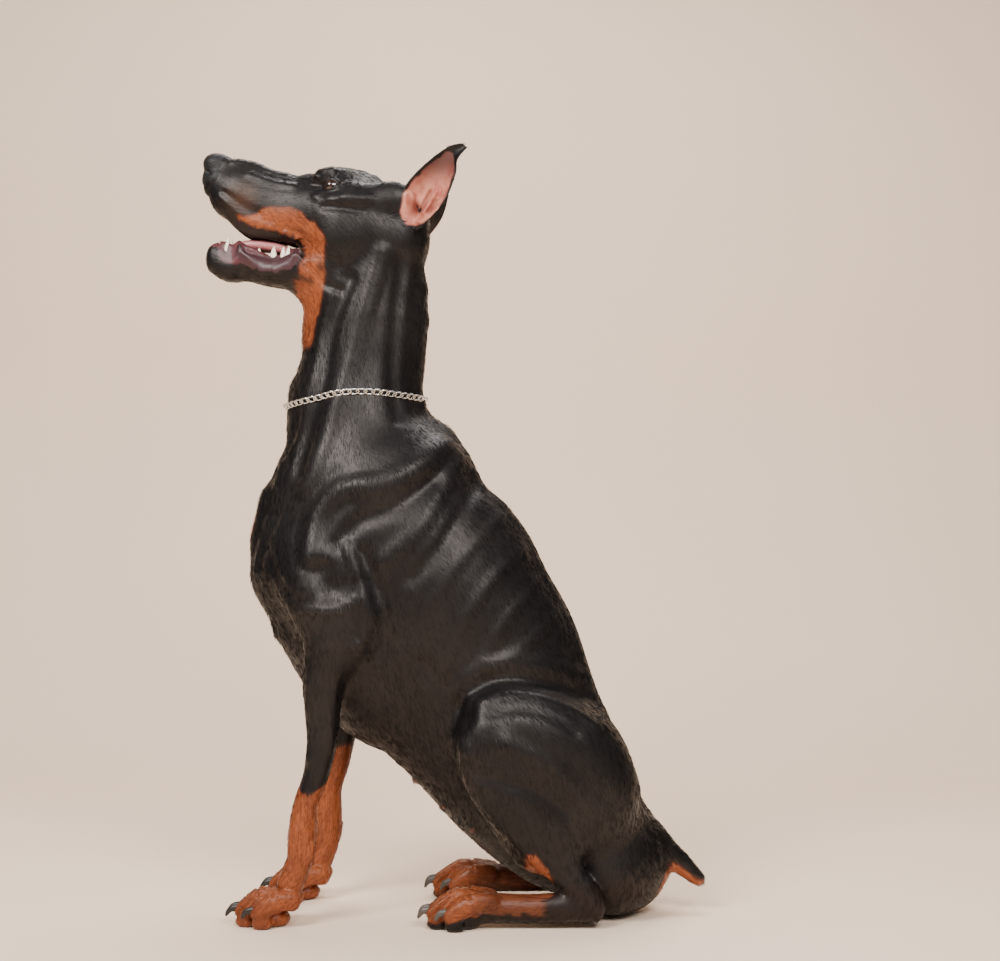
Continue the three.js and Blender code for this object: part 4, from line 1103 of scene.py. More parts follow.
def build_skin(depth):
    """The whole skin but the ears, as one closed mesh."""

    def distance(p):
        return skin_distance(p, depth)

    values, low = skin_values(distance)
    vertices, quads = surface_net(filled_squares(values), low, CELL)
    skin = mesh_object("skin", settled(vertices, distance, CELL / 2), quads)
    refined(skin, needs_halving)
    move_to(skin, settled(places(skin), distance, CELL / 4))
    refined(skin, needs_quartering)
    move_to(skin, settled(places(skin), distance, CELL / 8))
    return skin


def eased(piece, shares, rounds):
    """Lets each vertex move towards the middle of its neighbours, by its own share."""
    mesh = piece.data
    ends = np.empty(len(mesh.edges) * 2, int)
    mesh.edges.foreach_get("vertices", ends)
    one, other = ends.reshape(-1, 2).T
    p = places(piece)
    neighbours = np.bincount(ends, minlength=len(p))[:, None]
    for _ in range(rounds):
        total = np.stack([
            np.bincount(one, p[other, n], len(p)) + np.bincount(other, p[one, n], len(p)) for n in range(3)
        ], axis=1)
        p = p + shares[:, None] * (total / neighbours - p) / 2
    move_to(piece, p)


def eased_skin(skin):
    """Takes the edges between sections out of the trunk, and rounds the brows."""
    p = places(skin)
    x, _, z = p.T
    leg = (x < -70) & (z < 400)
    trunk = smooth(70, 120, z) * smooth(640, 590, z) * ~leg
    neck = smooth(590, 640, z) * smooth(800, 750, z)
    trunk += NECK_SHARE * neck * np.where(z > 700, smooth(-156, -138, x), 1)
    eased(skin, trunk, TRUNK_ROUNDS)
    move_to(skin, places(skin) + normals_of(skin) * TRUNK_FILL * trunk[:, None])
    folded = folded_over(p, -1)
    eased(skin, around(folded, BROW, BROW_REACH), BROW_ROUNDS)


def relief_of(vertices, normals, tree):
    """Everything that the sculptor adds to the plain skin, as a height along its normals."""
    x, _, z = vertices.T
    relief = stroke_relief(vertices, normals, tree)
    relief += toe_relief(vertices) + nipple_relief(vertices)
    in_mouth = (x < -170) & (np.abs(z - 778) < 20)
    relief[in_mouth] += gum_relief(vertices[in_mouth])
    on_nose = (x < -236) & (z > 840)
    relief[on_nose] += nose_relief(vertices[on_nose])
    trunk = smooth(720, 640, z) * smooth(60, 140, z)
    relief += trunk * sum(height * wobble(vertices, size, seed) for height, size, seed in WAVES)
    return relief * smooth(0.5, 6, z)


def raised_chin(vertices):
    """Fills the front of the lower jaw, where the gum holds the front teeth, and the chin."""
    vertices = vertices.copy()
    x = vertices[:, 0]
    z = vertices[:, 2]
    jaw = (x < -160) & (z < 800) & (z > 730)
    rim = smooth(9, 16, np.abs(vertices[:, 1])) * smooth(-172, -186, x) * smooth(-262, -250, x)
    front = smooth(-238, -264, x) * jaw
    rise = RIM_RISE * rim * jaw * smooth(748, 764, z)
    rise += CHIN_RISE * front * smooth(766, 780, z)
    rise += CHIN_CREST * bell(x + 274, 15) * jaw * smooth(766, 780, z)
    rise -= CHIN_DROP * front * smooth(768, 758, z)
    vertices[:, 2] += rise
    return vertices


def hung_lips(vertices):
    """Lets the edge of the upper lip hang over the side of the mouth."""
    vertices = vertices.copy()
    x = vertices[:, 0]
    z = vertices[:, 2]
    drop = np.interp(x, *zip(*LIP_DROPS))
    share = smooth(0, 11, z - mouth_height(x)) * smooth(852, 816, z) * smooth(7, 14, np.abs(vertices[:, 1]))
    vertices[:, 2] -= drop * share
    return vertices


def applied(piece):
    """Makes what the modifiers of a piece give into its own plain mesh."""
    solid = piece.evaluated_get(bpy.context.evaluated_depsgraph_get())
    mesh = bpy.data.meshes.new_from_object(solid)
    piece.modifiers.clear()
    piece.data = mesh


def tree_of(piece):
    faces = [tuple(face.vertices) for face in piece.data.polygons]
    return BVHTree.FromPolygons(places(piece).tolist(), faces)


def with_ears(skin):
    """Joins both ears to the skin in one closed form, and softens the crease at each root."""
    plain = bpy.data.materials.new("ear_mark")
    skin.data.materials.append(bpy.data.materials.new("skin_mark"))
    skin.data.materials.append(plain)
    for side in (-1, 1):
        ear = mesh_object("ear", *ear_shell(side))
        ear.data.materials.append(plain)
        union = skin.modifiers.new("ear", "BOOLEAN")
        union.operation = "UNION"
        union.solver = "MANIFOLD"
        union.object = ear
        applied(skin)
        bpy.data.objects.remove(ear)
    shape = bmesh.new()
    shape.from_mesh(skin.data)
    root = {
        vertex for vertex in shape.verts
        if len({face.material_index for face in vertex.link_faces}) > 1
    }
    for _ in range(ROOT_RINGS):
        root |= {edge.other_vert(vertex) for vertex in root for edge in vertex.link_edges}
    for _ in range(ROOT_ROUNDS):
        bmesh.ops.smooth_vert(shape, verts=list(root), factor=0.5)
    shape.to_mesh(skin.data)
    shape.free()
    skin.data.materials.clear()
    skin.data.polygons.foreach_set("material_index", [0] * len(skin.data.polygons))
    smoothed(skin.data)


def store_shares(piece, name, shares, first, second, third):
    """Keeps three shares as the red, green and blue of a colour attribute."""
    colours = np.stack([shares[first], shares[second], shares[third], np.ones(len(shares[first]))], axis=1)
    layer = piece.data.attributes.new(name, "FLOAT_COLOR", "POINT")
    layer.data.foreach_set("color", colours.astype(np.float32).ravel())


def store_markings(piece):
    shares = markings(places(piece), normals_of(piece))
    store_shares(piece, "marks", shares, "rust", "dark", "brown")
    store_shares(piece, "mouth", shares, "pink", "lip", "mauve")
    # The canal share is painted shade in the ear canal and in the folds inside the ears
    store_shares(piece, "bare", shares, "nose", "ear", "canal")


# Small shells
def ring_shell(rings):
    """A closed shell through rings of equal count, with both ends drawn to their middles."""
    rings = [np.asarray(ring, float) for ring in rings]
    count = len(rings[0])
    vertices = [rings[0].mean(axis=0), *[point for ring in rings for point in ring], rings[-1].mean(axis=0)]
    faces = []
    for n in range(count):
        faces.append((0, 1 + (n + 1) % count, 1 + n))
        last = 1 + (len(rings) - 1) * count
        faces.append((len(vertices) - 1, last + n, last + (n + 1) % count))
    for row in range(len(rings) - 1):
        low = 1 + row * count
        for n in range(count):
            m = (n + 1) % count
            faces.append((low + n, low + m, low + count + m, low + count + n))
    return np.array(vertices), faces


def put_together(shells):
    """One set of vertices and faces from many shells."""
    vertices = []
    faces = []
    start = 0
    for points, sides in shells:
        vertices.append(points)
        faces += [tuple(start + n for n in face) for face in sides]
        start += len(points)
    return np.concatenate(vertices), faces


def swept(middles, widths, depths, sides, flat=(0, 1, 0)):
    """A closed shell of elliptical rings along a line, whose width lies along one direction."""
    middles = np.asarray(middles, float)
    along = np.gradient(middles, axis=0)
    along /= lengths(along)[:, None]
    flat = np.asarray(flat, float)
    rings = []
    for middle, way, width, depth in zip(middles, along, widths, depths):
        across = flat - way * (flat @ way)
        across /= np.linalg.norm(across)
        deep = np.cross(way, across)
        angles = np.arange(sides) * 2 * math.pi / sides
        rings.append(
            middle + np.cos(angles)[:, None] * across * width + np.sin(angles)[:, None] * deep * depth
        )
    return ring_shell(rings)


def outward(piece):
    """Turns the faces of a piece of closed shells outwards."""
    shape = bmesh.new()
    shape.from_mesh(piece.data)
    bmesh.ops.recalc_face_normals(shape, faces=list(shape.faces))
    shape.to_mesh(piece.data)
    shape.free()
    smoothed(piece.data)


def store_value(piece, name, values):
    layer = piece.data.attributes.new(name, "FLOAT", "POINT")
    layer.data.foreach_set("value", np.asarray(values, np.float32))


# Teeth of one side: x and z of the root, x and z of the tip, y, half length, half width
LOWER_TEETH = (
    (-279, 780, -281, 797, 2.1, 1.9, 1.6), (-278, 780, -280, 797, 5.8, 2.0, 1.6),
    (-275, 780, -277, 796.5, 9.0, 2.1, 1.8), (-268.5, 770, -264, 802, 12, 4.3, 3.4),
    (-254.5, 768, -254, 784.5, 14, 2.6, 2.0), (-243, 766, -242.5, 782, 15.5, 4.2, 2.3),
    (-229.5, 764, -228, 786.5, 17, 6.6, 2.7), (-234, 764, -234, 779.5, 17, 4, 2.4),
    (-211.5, 764, -210.5, 788.5, 18.5, 5.8, 2.9), (-216, 764, -215.5, 780, 18.5, 4, 2.6),
    (-200, 764, -199, 788, 19.5, 4.8, 3.2), (-194, 764, -192.5, 788.5, 20, 5.2, 3.4),
    (-187, 764, -186.5, 780, 20.5, 4.6, 3.4),
)
UPPER_TEETH = (
    (-280, 852, -281, 834, 2.4, 2.1, 1.7), (-278, 852, -279, 834, 6.5, 2.2, 1.8),
    (-273, 850, -274, 831, 9.5, 2.6, 2.2), (-264, 846, -262, 824, 12, 4.4, 3.4),
    (-252, 832, -251.5, 819, 13, 3.0, 2.2), (-240, 830, -239.5, 816, 13.5, 4.2, 2.4),
    (-226, 827, -225.5, 813, 14.5, 5.0, 2.6), (-211, 824, -212, 808, 15.5, 5.8, 3.0),
    (-203, 822, -202, 810, 16, 4.2, 3.0),
)
TOOTH_RINGS = 9
TOOTH_SIDES = 12


def tooth(row, side):
    root_x, root_z, tip_x, tip_z, y, half_length, half_width = row
    share = np.linspace(0, 1, TOOTH_RINGS)
    middles = np.stack([
        root_x + (tip_x - root_x) * share ** 2,
        np.full(TOOTH_RINGS, y * side),
        root_z + (tip_z - root_z) * share,
    ], axis=1)
    taper = (1 - share ** 1.7) ** 0.8 + 0.02
    return swept(middles, half_width * taper, half_length * taper, TOOTH_SIDES)


# Tongue: x, z, half depth and half width of each station
TONGUE = (
    (-264, 788, 3, 6), (-260, 789.5, 5, 9), (-248, 791, 6.5, 11.5), (-232, 791.5, 7, 12.5),
    (-212, 789, 7, 13), (-192, 782, 7, 13), (-178, 772, 6, 12),
)
TONGUE_SIDES = 28
TONGUE_GROOVE_DEPTH = 0.34
TONGUE_GROOVE_WIDTH = 0.5
TONGUE_EDGE_FILL = 0.2


def tongue_shell():
    line = curve_through(TONGUE, 6)
    rings = []
    for x, z, depth, width in line:
        angles = np.arange(TONGUE_SIDES) * 2 * math.pi / TONGUE_SIDES
        across = np.cos(angles)
        up = np.sin(angles)
        groove = TONGUE_GROOVE_DEPTH * np.maximum(up, 0) * bell(across, TONGUE_GROOVE_WIDTH)
        height = up * (1 + TONGUE_EDGE_FILL * across ** 2) - groove
        rings.append(np.stack([np.full(TONGUE_SIDES, x), width * across, z + depth * height], axis=1))
    return ring_shell(rings)


# Claws: share of the length from the toe's tip, height over the floor and half thickness
CLAW = (
    (-0.5, 21.5, 4.4), (-0.05, 21, 4.0), (0.18, 19.8, 3.5), (0.36, 17.4, 2.8), (0.5, 14.0, 1.9),
    (0.55, 12.0, 0.8),
)
CLAW_SIDES = 14
CLAW_FLATNESS = 0.72
CLAW_SPREAD = 1.02


def claw_shells():
    """The claws of all feet, and how pale each vertex is."""
    shells = []
    shades = []
    for foot in FEET:
        for tip, offset in toes_of(foot):
            line = curve_through(CLAW, 3)
            middles = np.stack([
                tip - foot["claw"] * line[:, 0],
                np.full(len(line), foot["y"] + offset * CLAW_SPREAD),
                line[:, 1],
            ], axis=1)
            shell = swept(middles, line[:, 2] * CLAW_FLATNESS, line[:, 2], CLAW_SIDES)
            shells.append(shell)
            shades += [foot["pale"]] * len(shell[0])
    return put_together(shells), shades


# Eyes: rings from the pupil back round the ball
EYE_RINGS = 40
EYE_SIDES = 48
CORNEA_HALF_ANGLE = math.radians(36)
CORNEA_RISE = 0.7


def eye_shell(side):
    """The ball of an eye with its clear bulge, and how far each vertex lies from its middle."""
    centre, across, upwards, gaze = eye_axes(side)
    angles = np.linspace(0.02, math.pi - 0.02, EYE_RINGS)
    turns = np.arange(EYE_SIDES) * 2 * math.pi / EYE_SIDES
    rings = []
    shares = [0.0]
    for angle in angles:
        radius = EYE_RADIUS + CORNEA_RISE * bell(angle, CORNEA_HALF_ANGLE)
        ring = np.cos(turns)[:, None] * across + np.sin(turns)[:, None] * upwards
        rings.append(centre + radius * (math.cos(angle) * gaze + math.sin(angle) * ring))
        shares += [angle] * EYE_SIDES
    shares.append(math.pi)
    vertices, faces = ring_shell(rings)
    return vertices, faces, shares


# Lie of the hair: x, y and z of places on the left side, and the way the hair points there
HAIR_GUIDES = (
    (-285, -8, 850, 0.6, 0, -0.6), (-240, -25, 850, 1, 0, -0.25), (-190, -30, 850, 1, 0, -0.1),
    (-150, -10, 880, 1, 0, 0.1), (-100, -10, 875, 1, 0, -0.2), (-150, -45, 820, 0.9, 0, -0.5),
    (-200, -30, 820, 0.9, 0, -0.5), (-170, -30, 775, 0.8, 0, -0.6), (-230, -20, 755, 1, 0, -0.1),
    (-110, -50, 800, 0.5, 0, -0.9), (-60, -30, 800, 0.3, 0, -1), (-150, -10, 720, 0.3, 0, -1),
    (-170, 0, 640, 0.05, 0, -1), (-110, -50, 680, 0.15, 0, -1), (-40, -20, 660, 0.2, 0, -1),
    (-110, -60, 590, 0.1, 0, -1), (-200, -20, 520, -0.1, -0.3, -1), (-215, -40, 430, 0.1, -0.5, -1),
    (-120, -85, 500, 0.2, 0, -1), (-40, -80, 520, 0.5, 0, -0.9), (20, -30, 530, 0.6, 0, -0.8),
    (0, -95, 420, 0.5, 0, -0.9), (80, -60, 420, 0.55, 0, -0.85), (60, -95, 330, 0.45, 0, -0.9),
    (140, -50, 330, 0.5, 0, -0.85), (-120, -95, 400, 0.1, 0, -1), (-80, -90, 330, 0.3, 0, -0.95),
    (-147, -77, 260, 0.02, 0, -1), (-150, -76, 180, -0.03, 0, -1), (-172, -76, 100, -0.1, 0, -1),
    (-190, -76, 55, -0.6, 0, -0.8), (-225, -76, 40, -0.9, 0, -0.4), (-30, 0, 200, 0.6, 0, -0.8),
    (60, -100, 250, 0.6, 0, -0.8), (140, -90, 230, 0.7, 0, -0.7), (190, -80, 140, 0.3, 0, -0.95),
    (100, -110, 150, 0.2, 0, -0.95), (30, -105, 190, 0.1, 0, -1), (110, -105, 80, 0.4, 0, -0.9),
    (150, -100, 40, -0.3, 0, -0.9), (90, -95, 35, -1, 0, -0.1), (20, -95, 35, -1, 0, -0.2),
    (-20, -90, 35, -0.9, 0, -0.4), (240, -15, 90, 0.8, 0, -0.5), (285, -5, 55, 0.8, 0, -0.6),
    (-30, -60, 850, 0.5, 0, 0.8), (5, -60, 890, 0.5, 0, 0.85), (-50, -45, 830, 0.4, 0, 0.9),
)
GUIDE_REACH = 25.0


def lie_of_hair(p, normals):
    """The way the hair points at each place, along the skin."""
    side = np.where(p[:, 1] > 0, -1.0, 1.0)
    folded = folded_over(p, -1)
    total = np.zeros((len(p), 3))
    for *place, along, across, up in HAIR_GUIDES:
        gap = ((folded - place) ** 2).sum(axis=1) + GUIDE_REACH ** 2
        total += np.array((along, across, up)) / (gap ** 2)[:, None]
    total[:, 1] *= side
    total -= normals * (total * normals).sum(axis=1)[:, None]
    return total / np.maximum(lengths(total), 1e-12)[:, None]


# Coat: length, width and spacing of the tufts in each region, in millimetres
COAT_REGIONS = (
    # lowest and highest corner on the left side, length, width, spacing
    ((-400, -200, -10), (400, 0, 1000), 9.0, 0.95, 4.1),
    ((-400, -200, 640), (400, 0, 1000), 7.5, 0.85, 3.6),
    ((-400, -200, 735), (-100, 0, 1000), 5.5, 0.75, 3.1),
    ((-400, -200, 780), (-190, 0, 1000), 4.0, 0.6, 2.8),
    ((-70, -200, 815), (60, 0, 1000), 4.2, 0.7, 3.2),
    ((-260, -200, -10), (-96, -34, 230), 6.0, 0.8, 3.2),
    ((-260, -200, -10), (-160, -34, 70), 4.0, 0.65, 2.9),
    ((-60, -200, -10), (90, -55, 75), 4.2, 0.65, 3.0),
    ((225, -200, -10), (320, 0, 110), 9.0, 0.9, 3.2),
)
TUFT_LIFT = 0.06
TUFT_SUNK = 0.5
TUFT_THICKNESS = 0.26
TUFT_SEED = 7
# Chance in each tuft: turn of its lie, and shares of its length, width, lift, and the tip's lift and stray
TUFT_TURN = 0.16
TUFT_LENGTHS = (0.7, 1.25)
TUFT_WIDTHS = (0.7, 1.2)
TUFT_LIFTS = (0.4, 1.5)
TIP_LIFTS = (0.3, 1.1)
TIP_STRAY = 0.06
# The tuft's middle: shares of its length, lift and width
MIDDLE_REACH = 0.45
MIDDLE_LIFT = 0.8
MIDDLE_WIDTH = 0.85
FLOOR_GAP = 0.3
# How far the light on each tuft strays from the light on the skin under it
SHEEN_SPREAD = 0.05
TUFTS_A_PIECE = 19500
# Where no hair grows: share of bare skin, distance from the ball of an eye, and height over the floor
BALD_SHARE = 0.4
BALD_ROUND_EYE = 4.5
BALD_SOLE = 3
COAT_FEET_TOP = 230
COAT_HEAD_BOTTOM = 690
PATCH = 0.003
# Places where the hair stands off the form: middle, reach, extra length and lift
RUFFLED = (
    ((-160, 0, 660), 70, 0.3, 0.10), ((-205, 0, 480), 60, 0.35, 0.12), ((-190, 0, 360), 50, 0.4, 0.12),
    ((-90, 0, 300), 70, 0.3, 0.10), ((40, 0, 180), 80, 0.3, 0.10), ((215, -50, 60), 50, 0.5, 0.14),
    ((-100, -80, 320), 24, 0.4, 0.14), ((230, 0, 90), 60, 0.4, 0.14), ((150, -90, 40), 24, 0.3, 0.14),
    ((-150, -75, 90), 14, 0.4, 0.14), ((-20, 0, 590), 40, 0.2, 0.08),
)


def coat_measure(p):
    """Length, width, spacing and lift of the tufts at each place."""
    folded = folded_over(p, -1)
    plan = np.zeros((len(p), 4))
    for low, high, length, width, spacing in COAT_REGIONS:
        inside = np.all((folded >= low) & (folded <= high), axis=1)
        plan[inside, :3] = length, width, spacing
    plan[:, 3] = TUFT_LIFT
    for middle, reach, longer, lift in RUFFLED:
        near = around(folded, middle, reach)
        plan[:, 0] *= 1 + longer * near
        plan[:, 3] += lift * near
    return plan


def bare_share(shares):
    """1 where no hair grows: lips, mouth, nose and the inside of the ears."""
    return np.maximum.reduce([shares[name] for name in ("pink", "lip", "mauve", "nose", "ear", "canal")])


def hair_roots(skin, random):
    """Places, normals and corners' shares of random roots, spread by the spacing of the tufts."""
    mesh = skin.data
    mesh.calc_loop_triangles()
    corners = np.empty(len(mesh.loop_triangles) * 3, int)
    mesh.loop_triangles.foreach_get("vertices", corners)
    corners = corners.reshape(-1, 3)
    vertices = places(skin)
    normals = normals_of(skin)
    shares = markings(vertices, normals)
    a, b, c = (vertices[corners[:, n]] for n in range(3))
    area = lengths(np.cross(b - a, c - a)) / 2
    middle = (a + b + c) / 3
    bald = bare_share(shares)[corners].max(axis=1) > BALD_SHARE
    for side in (-1, 1):
        centre, _, _, gaze = eye_axes(side)
        offset = middle - centre
        bald |= (lengths(offset) < EYE_RADIUS + BALD_ROUND_EYE) & (offset @ gaze > 0)
    bald |= middle[:, 2] < BALD_SOLE
    chance = np.where(bald, 0, area / coat_measure(middle)[:, 2] ** 2)
    count = random.poisson(chance)
    rows = np.repeat(np.arange(len(area)), count)
    u = np.sqrt(random.random(len(rows)))[:, None]
    v = random.random(len(rows))[:, None]
    parts = np.concatenate([1 - u, u * (1 - v), u * v], axis=1)
    roots = sum(parts[:, [n]] * vertices[corners[rows, n]] for n in range(3))
    way = sum(parts[:, [n]] * normals[corners[rows, n]] for n in range(3))
    way /= lengths(way)[:, None]
    marks = {
        name: sum(parts[:, n] * shares[name][corners[rows, n]] for n in range(3))
        for name in ("rust", "dark", "brown")
    }
    return roots, way, marks


def tuft_arrays(roots, normals, random):
    """Vertices and triangles of one curved three-sided tuft at each root."""
    plan = coat_measure(roots)
    count = len(roots)
    lie = lie_of_hair(roots, normals)
    beside = np.cross(normals, lie)
    lie = lie + beside * random.normal(0, TUFT_TURN, count)[:, None]
    lie /= lengths(lie)[:, None]
    beside = np.cross(normals, lie)
    length = (plan[:, 0] * random.uniform(*TUFT_LENGTHS, count))[:, None]
    width = (plan[:, 1] * random.uniform(*TUFT_WIDTHS, count))[:, None] / 2
    lift = (plan[:, 3] * random.uniform(*TUFT_LIFTS, count))[:, None]
    base = roots - normals * TUFT_SUNK
    middle = roots + lie * length * MIDDLE_REACH + normals * length * lift * MIDDLE_LIFT
    tip = roots + lie * length + normals * length * lift * random.uniform(*TIP_LIFTS, count)[:, None]
    tip += beside * length * random.normal(0, TIP_STRAY, count)[:, None]
    top = normals * TUFT_THICKNESS
    vertices = np.stack([
        base - beside * width, base + beside * width, base + 2 * top,
        middle - beside * width * MIDDLE_WIDTH, middle + beside * width * MIDDLE_WIDTH, middle + top, tip,
    ], axis=1)
    pattern = np.array((
        (0, 2, 1), (0, 4, 3), (0, 1, 4), (1, 5, 4), (1, 2, 5), (2, 3, 5), (2, 0, 3),
        (3, 4, 6), (4, 5, 6), (5, 3, 6),
    ))
    triangles = pattern[None] + 7 * np.arange(count)[:, None, None]
    low, high = np.array(CAD_BOX) / MM
    return np.clip(vertices, low + FLOOR_GAP, high), triangles


def unwrapped(roots, normals):
    """The place of each root on an unwrap of the skin from six sides, in a sheet of six cells."""
    axis = np.abs(normals).argmax(axis=1)
    ahead = normals[np.arange(len(roots)), axis] > 0
    cell = axis * 2 + ahead
    low = roots.min(axis=0) - 1
    spread = roots.max(axis=0) + 1 - low
    flat = (roots - low) / spread
    u = np.where(axis == 0, flat[:, 1], flat[:, 0])
    v = np.where(axis == 2, flat[:, 1], flat[:, 2])
    margin = 2 * PATCH
    return np.stack([
        (cell % 3 + margin + u * (1 - 3 * margin)) / 3,
        (cell // 3 + margin + v * (1 - 3 * margin)) / 2,
    ], axis=1)


def coat_piece(name, roots, normals, marks, random):
    """One piece of the coat, with its markings, its shade and its unwrap."""
    vertices, triangles = tuft_arrays(roots, normals, random)
    mesh = bpy.data.meshes.new(name)
    mesh.vertices.add(vertices.shape[0] * vertices.shape[1])
    mesh.vertices.foreach_set("co", (vertices * MM).ravel())
    corners = triangles.reshape(-1)
    mesh.loops.add(len(corners))
    mesh.loops.foreach_set("vertex_index", corners)
    mesh.polygons.add(len(corners) // 3)
    mesh.polygons.foreach_set("loop_start", np.arange(0, len(corners), 3))
    mesh.update(calc_edges=True)
    mesh.polygons.foreach_set("use_smooth", [True] * len(mesh.polygons))
    sheen = normals + SHEEN_SPREAD * random.normal(0, 1, normals.shape)
    sheen /= lengths(sheen)[:, None]
    mesh.normals_split_custom_set_from_vertices(np.repeat(sheen, vertices.shape[1], axis=0))
    piece = placed(name, mesh)
    spread = {mark: np.repeat(values, vertices.shape[1]) for mark, values in marks.items()}
    store_shares(piece, "marks", spread, "rust", "dark", "brown")
    store_value(piece, "strand", np.repeat(random.random(len(roots)), vertices.shape[1]))
    corner_patch = np.array(((0, 0), (1, 0), (0.5, 0.2), (0, 0.5), (1, 0.5), (0.5, 0.6), (0.5, 1))) - 0.5
    flat = unwrapped(roots, normals)[:, None] + corner_patch * PATCH
    unwrap = mesh.uv_layers.new(name="OFBake")
    unwrap.data.foreach_set("uv", flat.reshape(-1, 2)[corners].astype(np.float32).ravel())
    return piece


# Chain of the collar
CHAIN_X = -117
CHAIN_FRONT = 599
CHAIN_BACK = 608
CHAIN_RISE = 9
CHAIN_STEPS = 96
CHAIN_STANDOFF = 3.0
LINK_TWIST = math.radians(42)
LINK_STEPS = 14
WIRE_SIDES = 7


def chain_line(tree):
    """Points of the chain's middle line, laid round the neck over the coat."""
    turns = np.arange(CHAIN_STEPS) * 2 * math.pi / CHAIN_STEPS
    share = (1 + np.cos(turns)) / 2
    heights = CHAIN_FRONT + (CHAIN_BACK - CHAIN_FRONT) * share + CHAIN_RISE * np.sin(turns) ** 2
    reaches = []
    for turn, height in zip(turns, heights):
        way = Vector((math.cos(turn), math.sin(turn), 0))
        place, _, _, reach = tree.ray_cast(Vector((CHAIN_X, 0, height)), way)
        if place is None:
            raise RuntimeError("The chain finds no neck")
        reaches.append(reach + CHAIN_STANDOFF)
    reaches = np.array(reaches)
    for _ in range(6):
        reaches = (np.roll(reaches, 1) + 2 * reaches + np.roll(reaches, -1)) / 4
    return np.stack([CHAIN_X + reaches * np.cos(turns), reaches * np.sin(turns), heights], axis=1)


class Nodes:
    """A Geometry Nodes tree with named inputs, for one modifier."""

    def __init__(self, name, inputs):
        self.tree = bpy.data.node_groups.new(name, "GeometryNodeTree")
        face = self.tree.interface
        face.new_socket("Geometry", in_out="INPUT", socket_type="NodeSocketGeometry")
        face.new_socket("Geometry", in_out="OUTPUT", socket_type="NodeSocketGeometry")
        self.keys = {
            label: face.new_socket(label, in_out="INPUT", socket_type=kind).identifier
            for label, kind in inputs.items()
        }
        self.entry = self.tree.nodes.new("NodeGroupInput")

    def add(self, kind, settings, sockets):
        node = self.tree.nodes.new(kind)
        for setting, value in settings.items():
            setattr(node, setting, value)
        for socket, value in sockets.items():
            if isinstance(value, bpy.types.NodeSocket):
                self.tree.links.new(value, node.inputs[socket])
            else:
                node.inputs[socket].default_value = value
        return node.outputs

    def finish(self, piece, values, result):
        """Ends the tree, runs it on a piece and leaves a plain mesh."""
        self.add("NodeGroupOutput", {}, {"Geometry": result})
        modifier = piece.modifiers.new(self.tree.name, "NODES")
        modifier.node_group = self.tree
        for label, value in values.items():
            modifier[self.keys[label]] = value
        piece.update_tag()
        applied(piece)


def linked_chain(line, sizes, material):
    """The links of the chain, each turned a little on the line, as one mesh."""
    count = len(line)
    piece = mesh_object("chain", line, [])
    piece.data.edges.add(count)
    pairs = np.stack([np.arange(count), (np.arange(count) + 1) % count], axis=1)
    piece.data.edges.foreach_set("vertices", pairs.ravel())
    piece.data.update()
    nodes = Nodes("chain_links", {
        "Links": "NodeSocketInt", "Link Length": "NodeSocketFloat", "Link Width": "NodeSocketFloat",
        "Wire": "NodeSocketFloat", "Twist": "NodeSocketFloat", "Finish": "NodeSocketMaterial",
    })
    given = nodes.entry.outputs
    path = nodes.add("GeometryNodeMeshToCurve", {}, {"Mesh": given["Geometry"]})["Curve"]
    spots_and_shade = nodes.add("GeometryNodeResampleCurve", {}, {"Curve": path, "Count": given["Links"]})["Curve"]
    tangent = nodes.add("GeometryNodeInputTangent", {}, {})["Tangent"]
    along = nodes.add("FunctionNodeAlignRotationToVector", {"axis": "X"}, {"Vector": tangent})["Rotation"]
    here = nodes.add("GeometryNodeInputPosition", {}, {})["Position"]
    centre = (line.mean(axis=0) * MM).tolist()
    outwards = nodes.add("ShaderNodeVectorMath", {"operation": "SUBTRACT"}, {0: here, 1: centre})["Vector"]
    facing = nodes.add(
        "FunctionNodeAlignRotationToVector", {"axis": "Z", "pivot_axis": "X"},
        {"Rotation": along, "Vector": outwards},
    )["Rotation"]
    twist = nodes.add("ShaderNodeCombineXYZ", {}, {"X": given["Twist"]})["Vector"]
    turn = nodes.add("FunctionNodeEulerToRotation", {}, {"Euler": twist})["Rotation"]
    turned = nodes.add(
        "FunctionNodeRotateRotation", {"rotation_space": "LOCAL"}, {"Rotation": facing, "Rotate By": turn},
    )["Rotation"]
    ring = nodes.add("GeometryNodeCurvePrimitiveCircle", {"mode": "RADIUS"}, {
        "Resolution": LINK_STEPS, "Radius": 0.5,
    })["Curve"]
    oval = nodes.add("ShaderNodeCombineXYZ", {}, {
        "X": given["Link Length"], "Y": given["Link Width"], "Z": 1.0,
    })["Vector"]
    shaped = nodes.add("GeometryNodeTransform", {}, {"Geometry": ring, "Scale": oval})["Geometry"]
    wire = nodes.add("GeometryNodeCurvePrimitiveCircle", {"mode": "RADIUS"}, {
        "Resolution": WIRE_SIDES, "Radius": given["Wire"],
    })["Curve"]
    link = nodes.add("GeometryNodeCurveToMesh", {}, {"Curve": shaped, "Profile Curve": wire})["Mesh"]
    links = nodes.add("GeometryNodeInstanceOnPoints", {}, {
        "Points": spots_and_shade, "Instance": link, "Rotation": turned,
    })["Instances"]
    real = nodes.add("GeometryNodeRealizeInstances", {}, {"Geometry": links})["Geometry"]
    smooth_links = nodes.add("GeometryNodeSetShadeSmooth", {}, {"Geometry": real})["Geometry"]
    done = nodes.add("GeometryNodeSetMaterial", {}, {
        "Geometry": smooth_links, "Material": given["Finish"],
    })["Geometry"]
    nodes.finish(piece, {
        "Links": sizes.chain_links, "Link Length": sizes.link_length, "Link Width": sizes.link_width,
        "Wire": sizes.link_wire / 2, "Twist": LINK_TWIST, "Finish": material,
    }, done)
    return piece


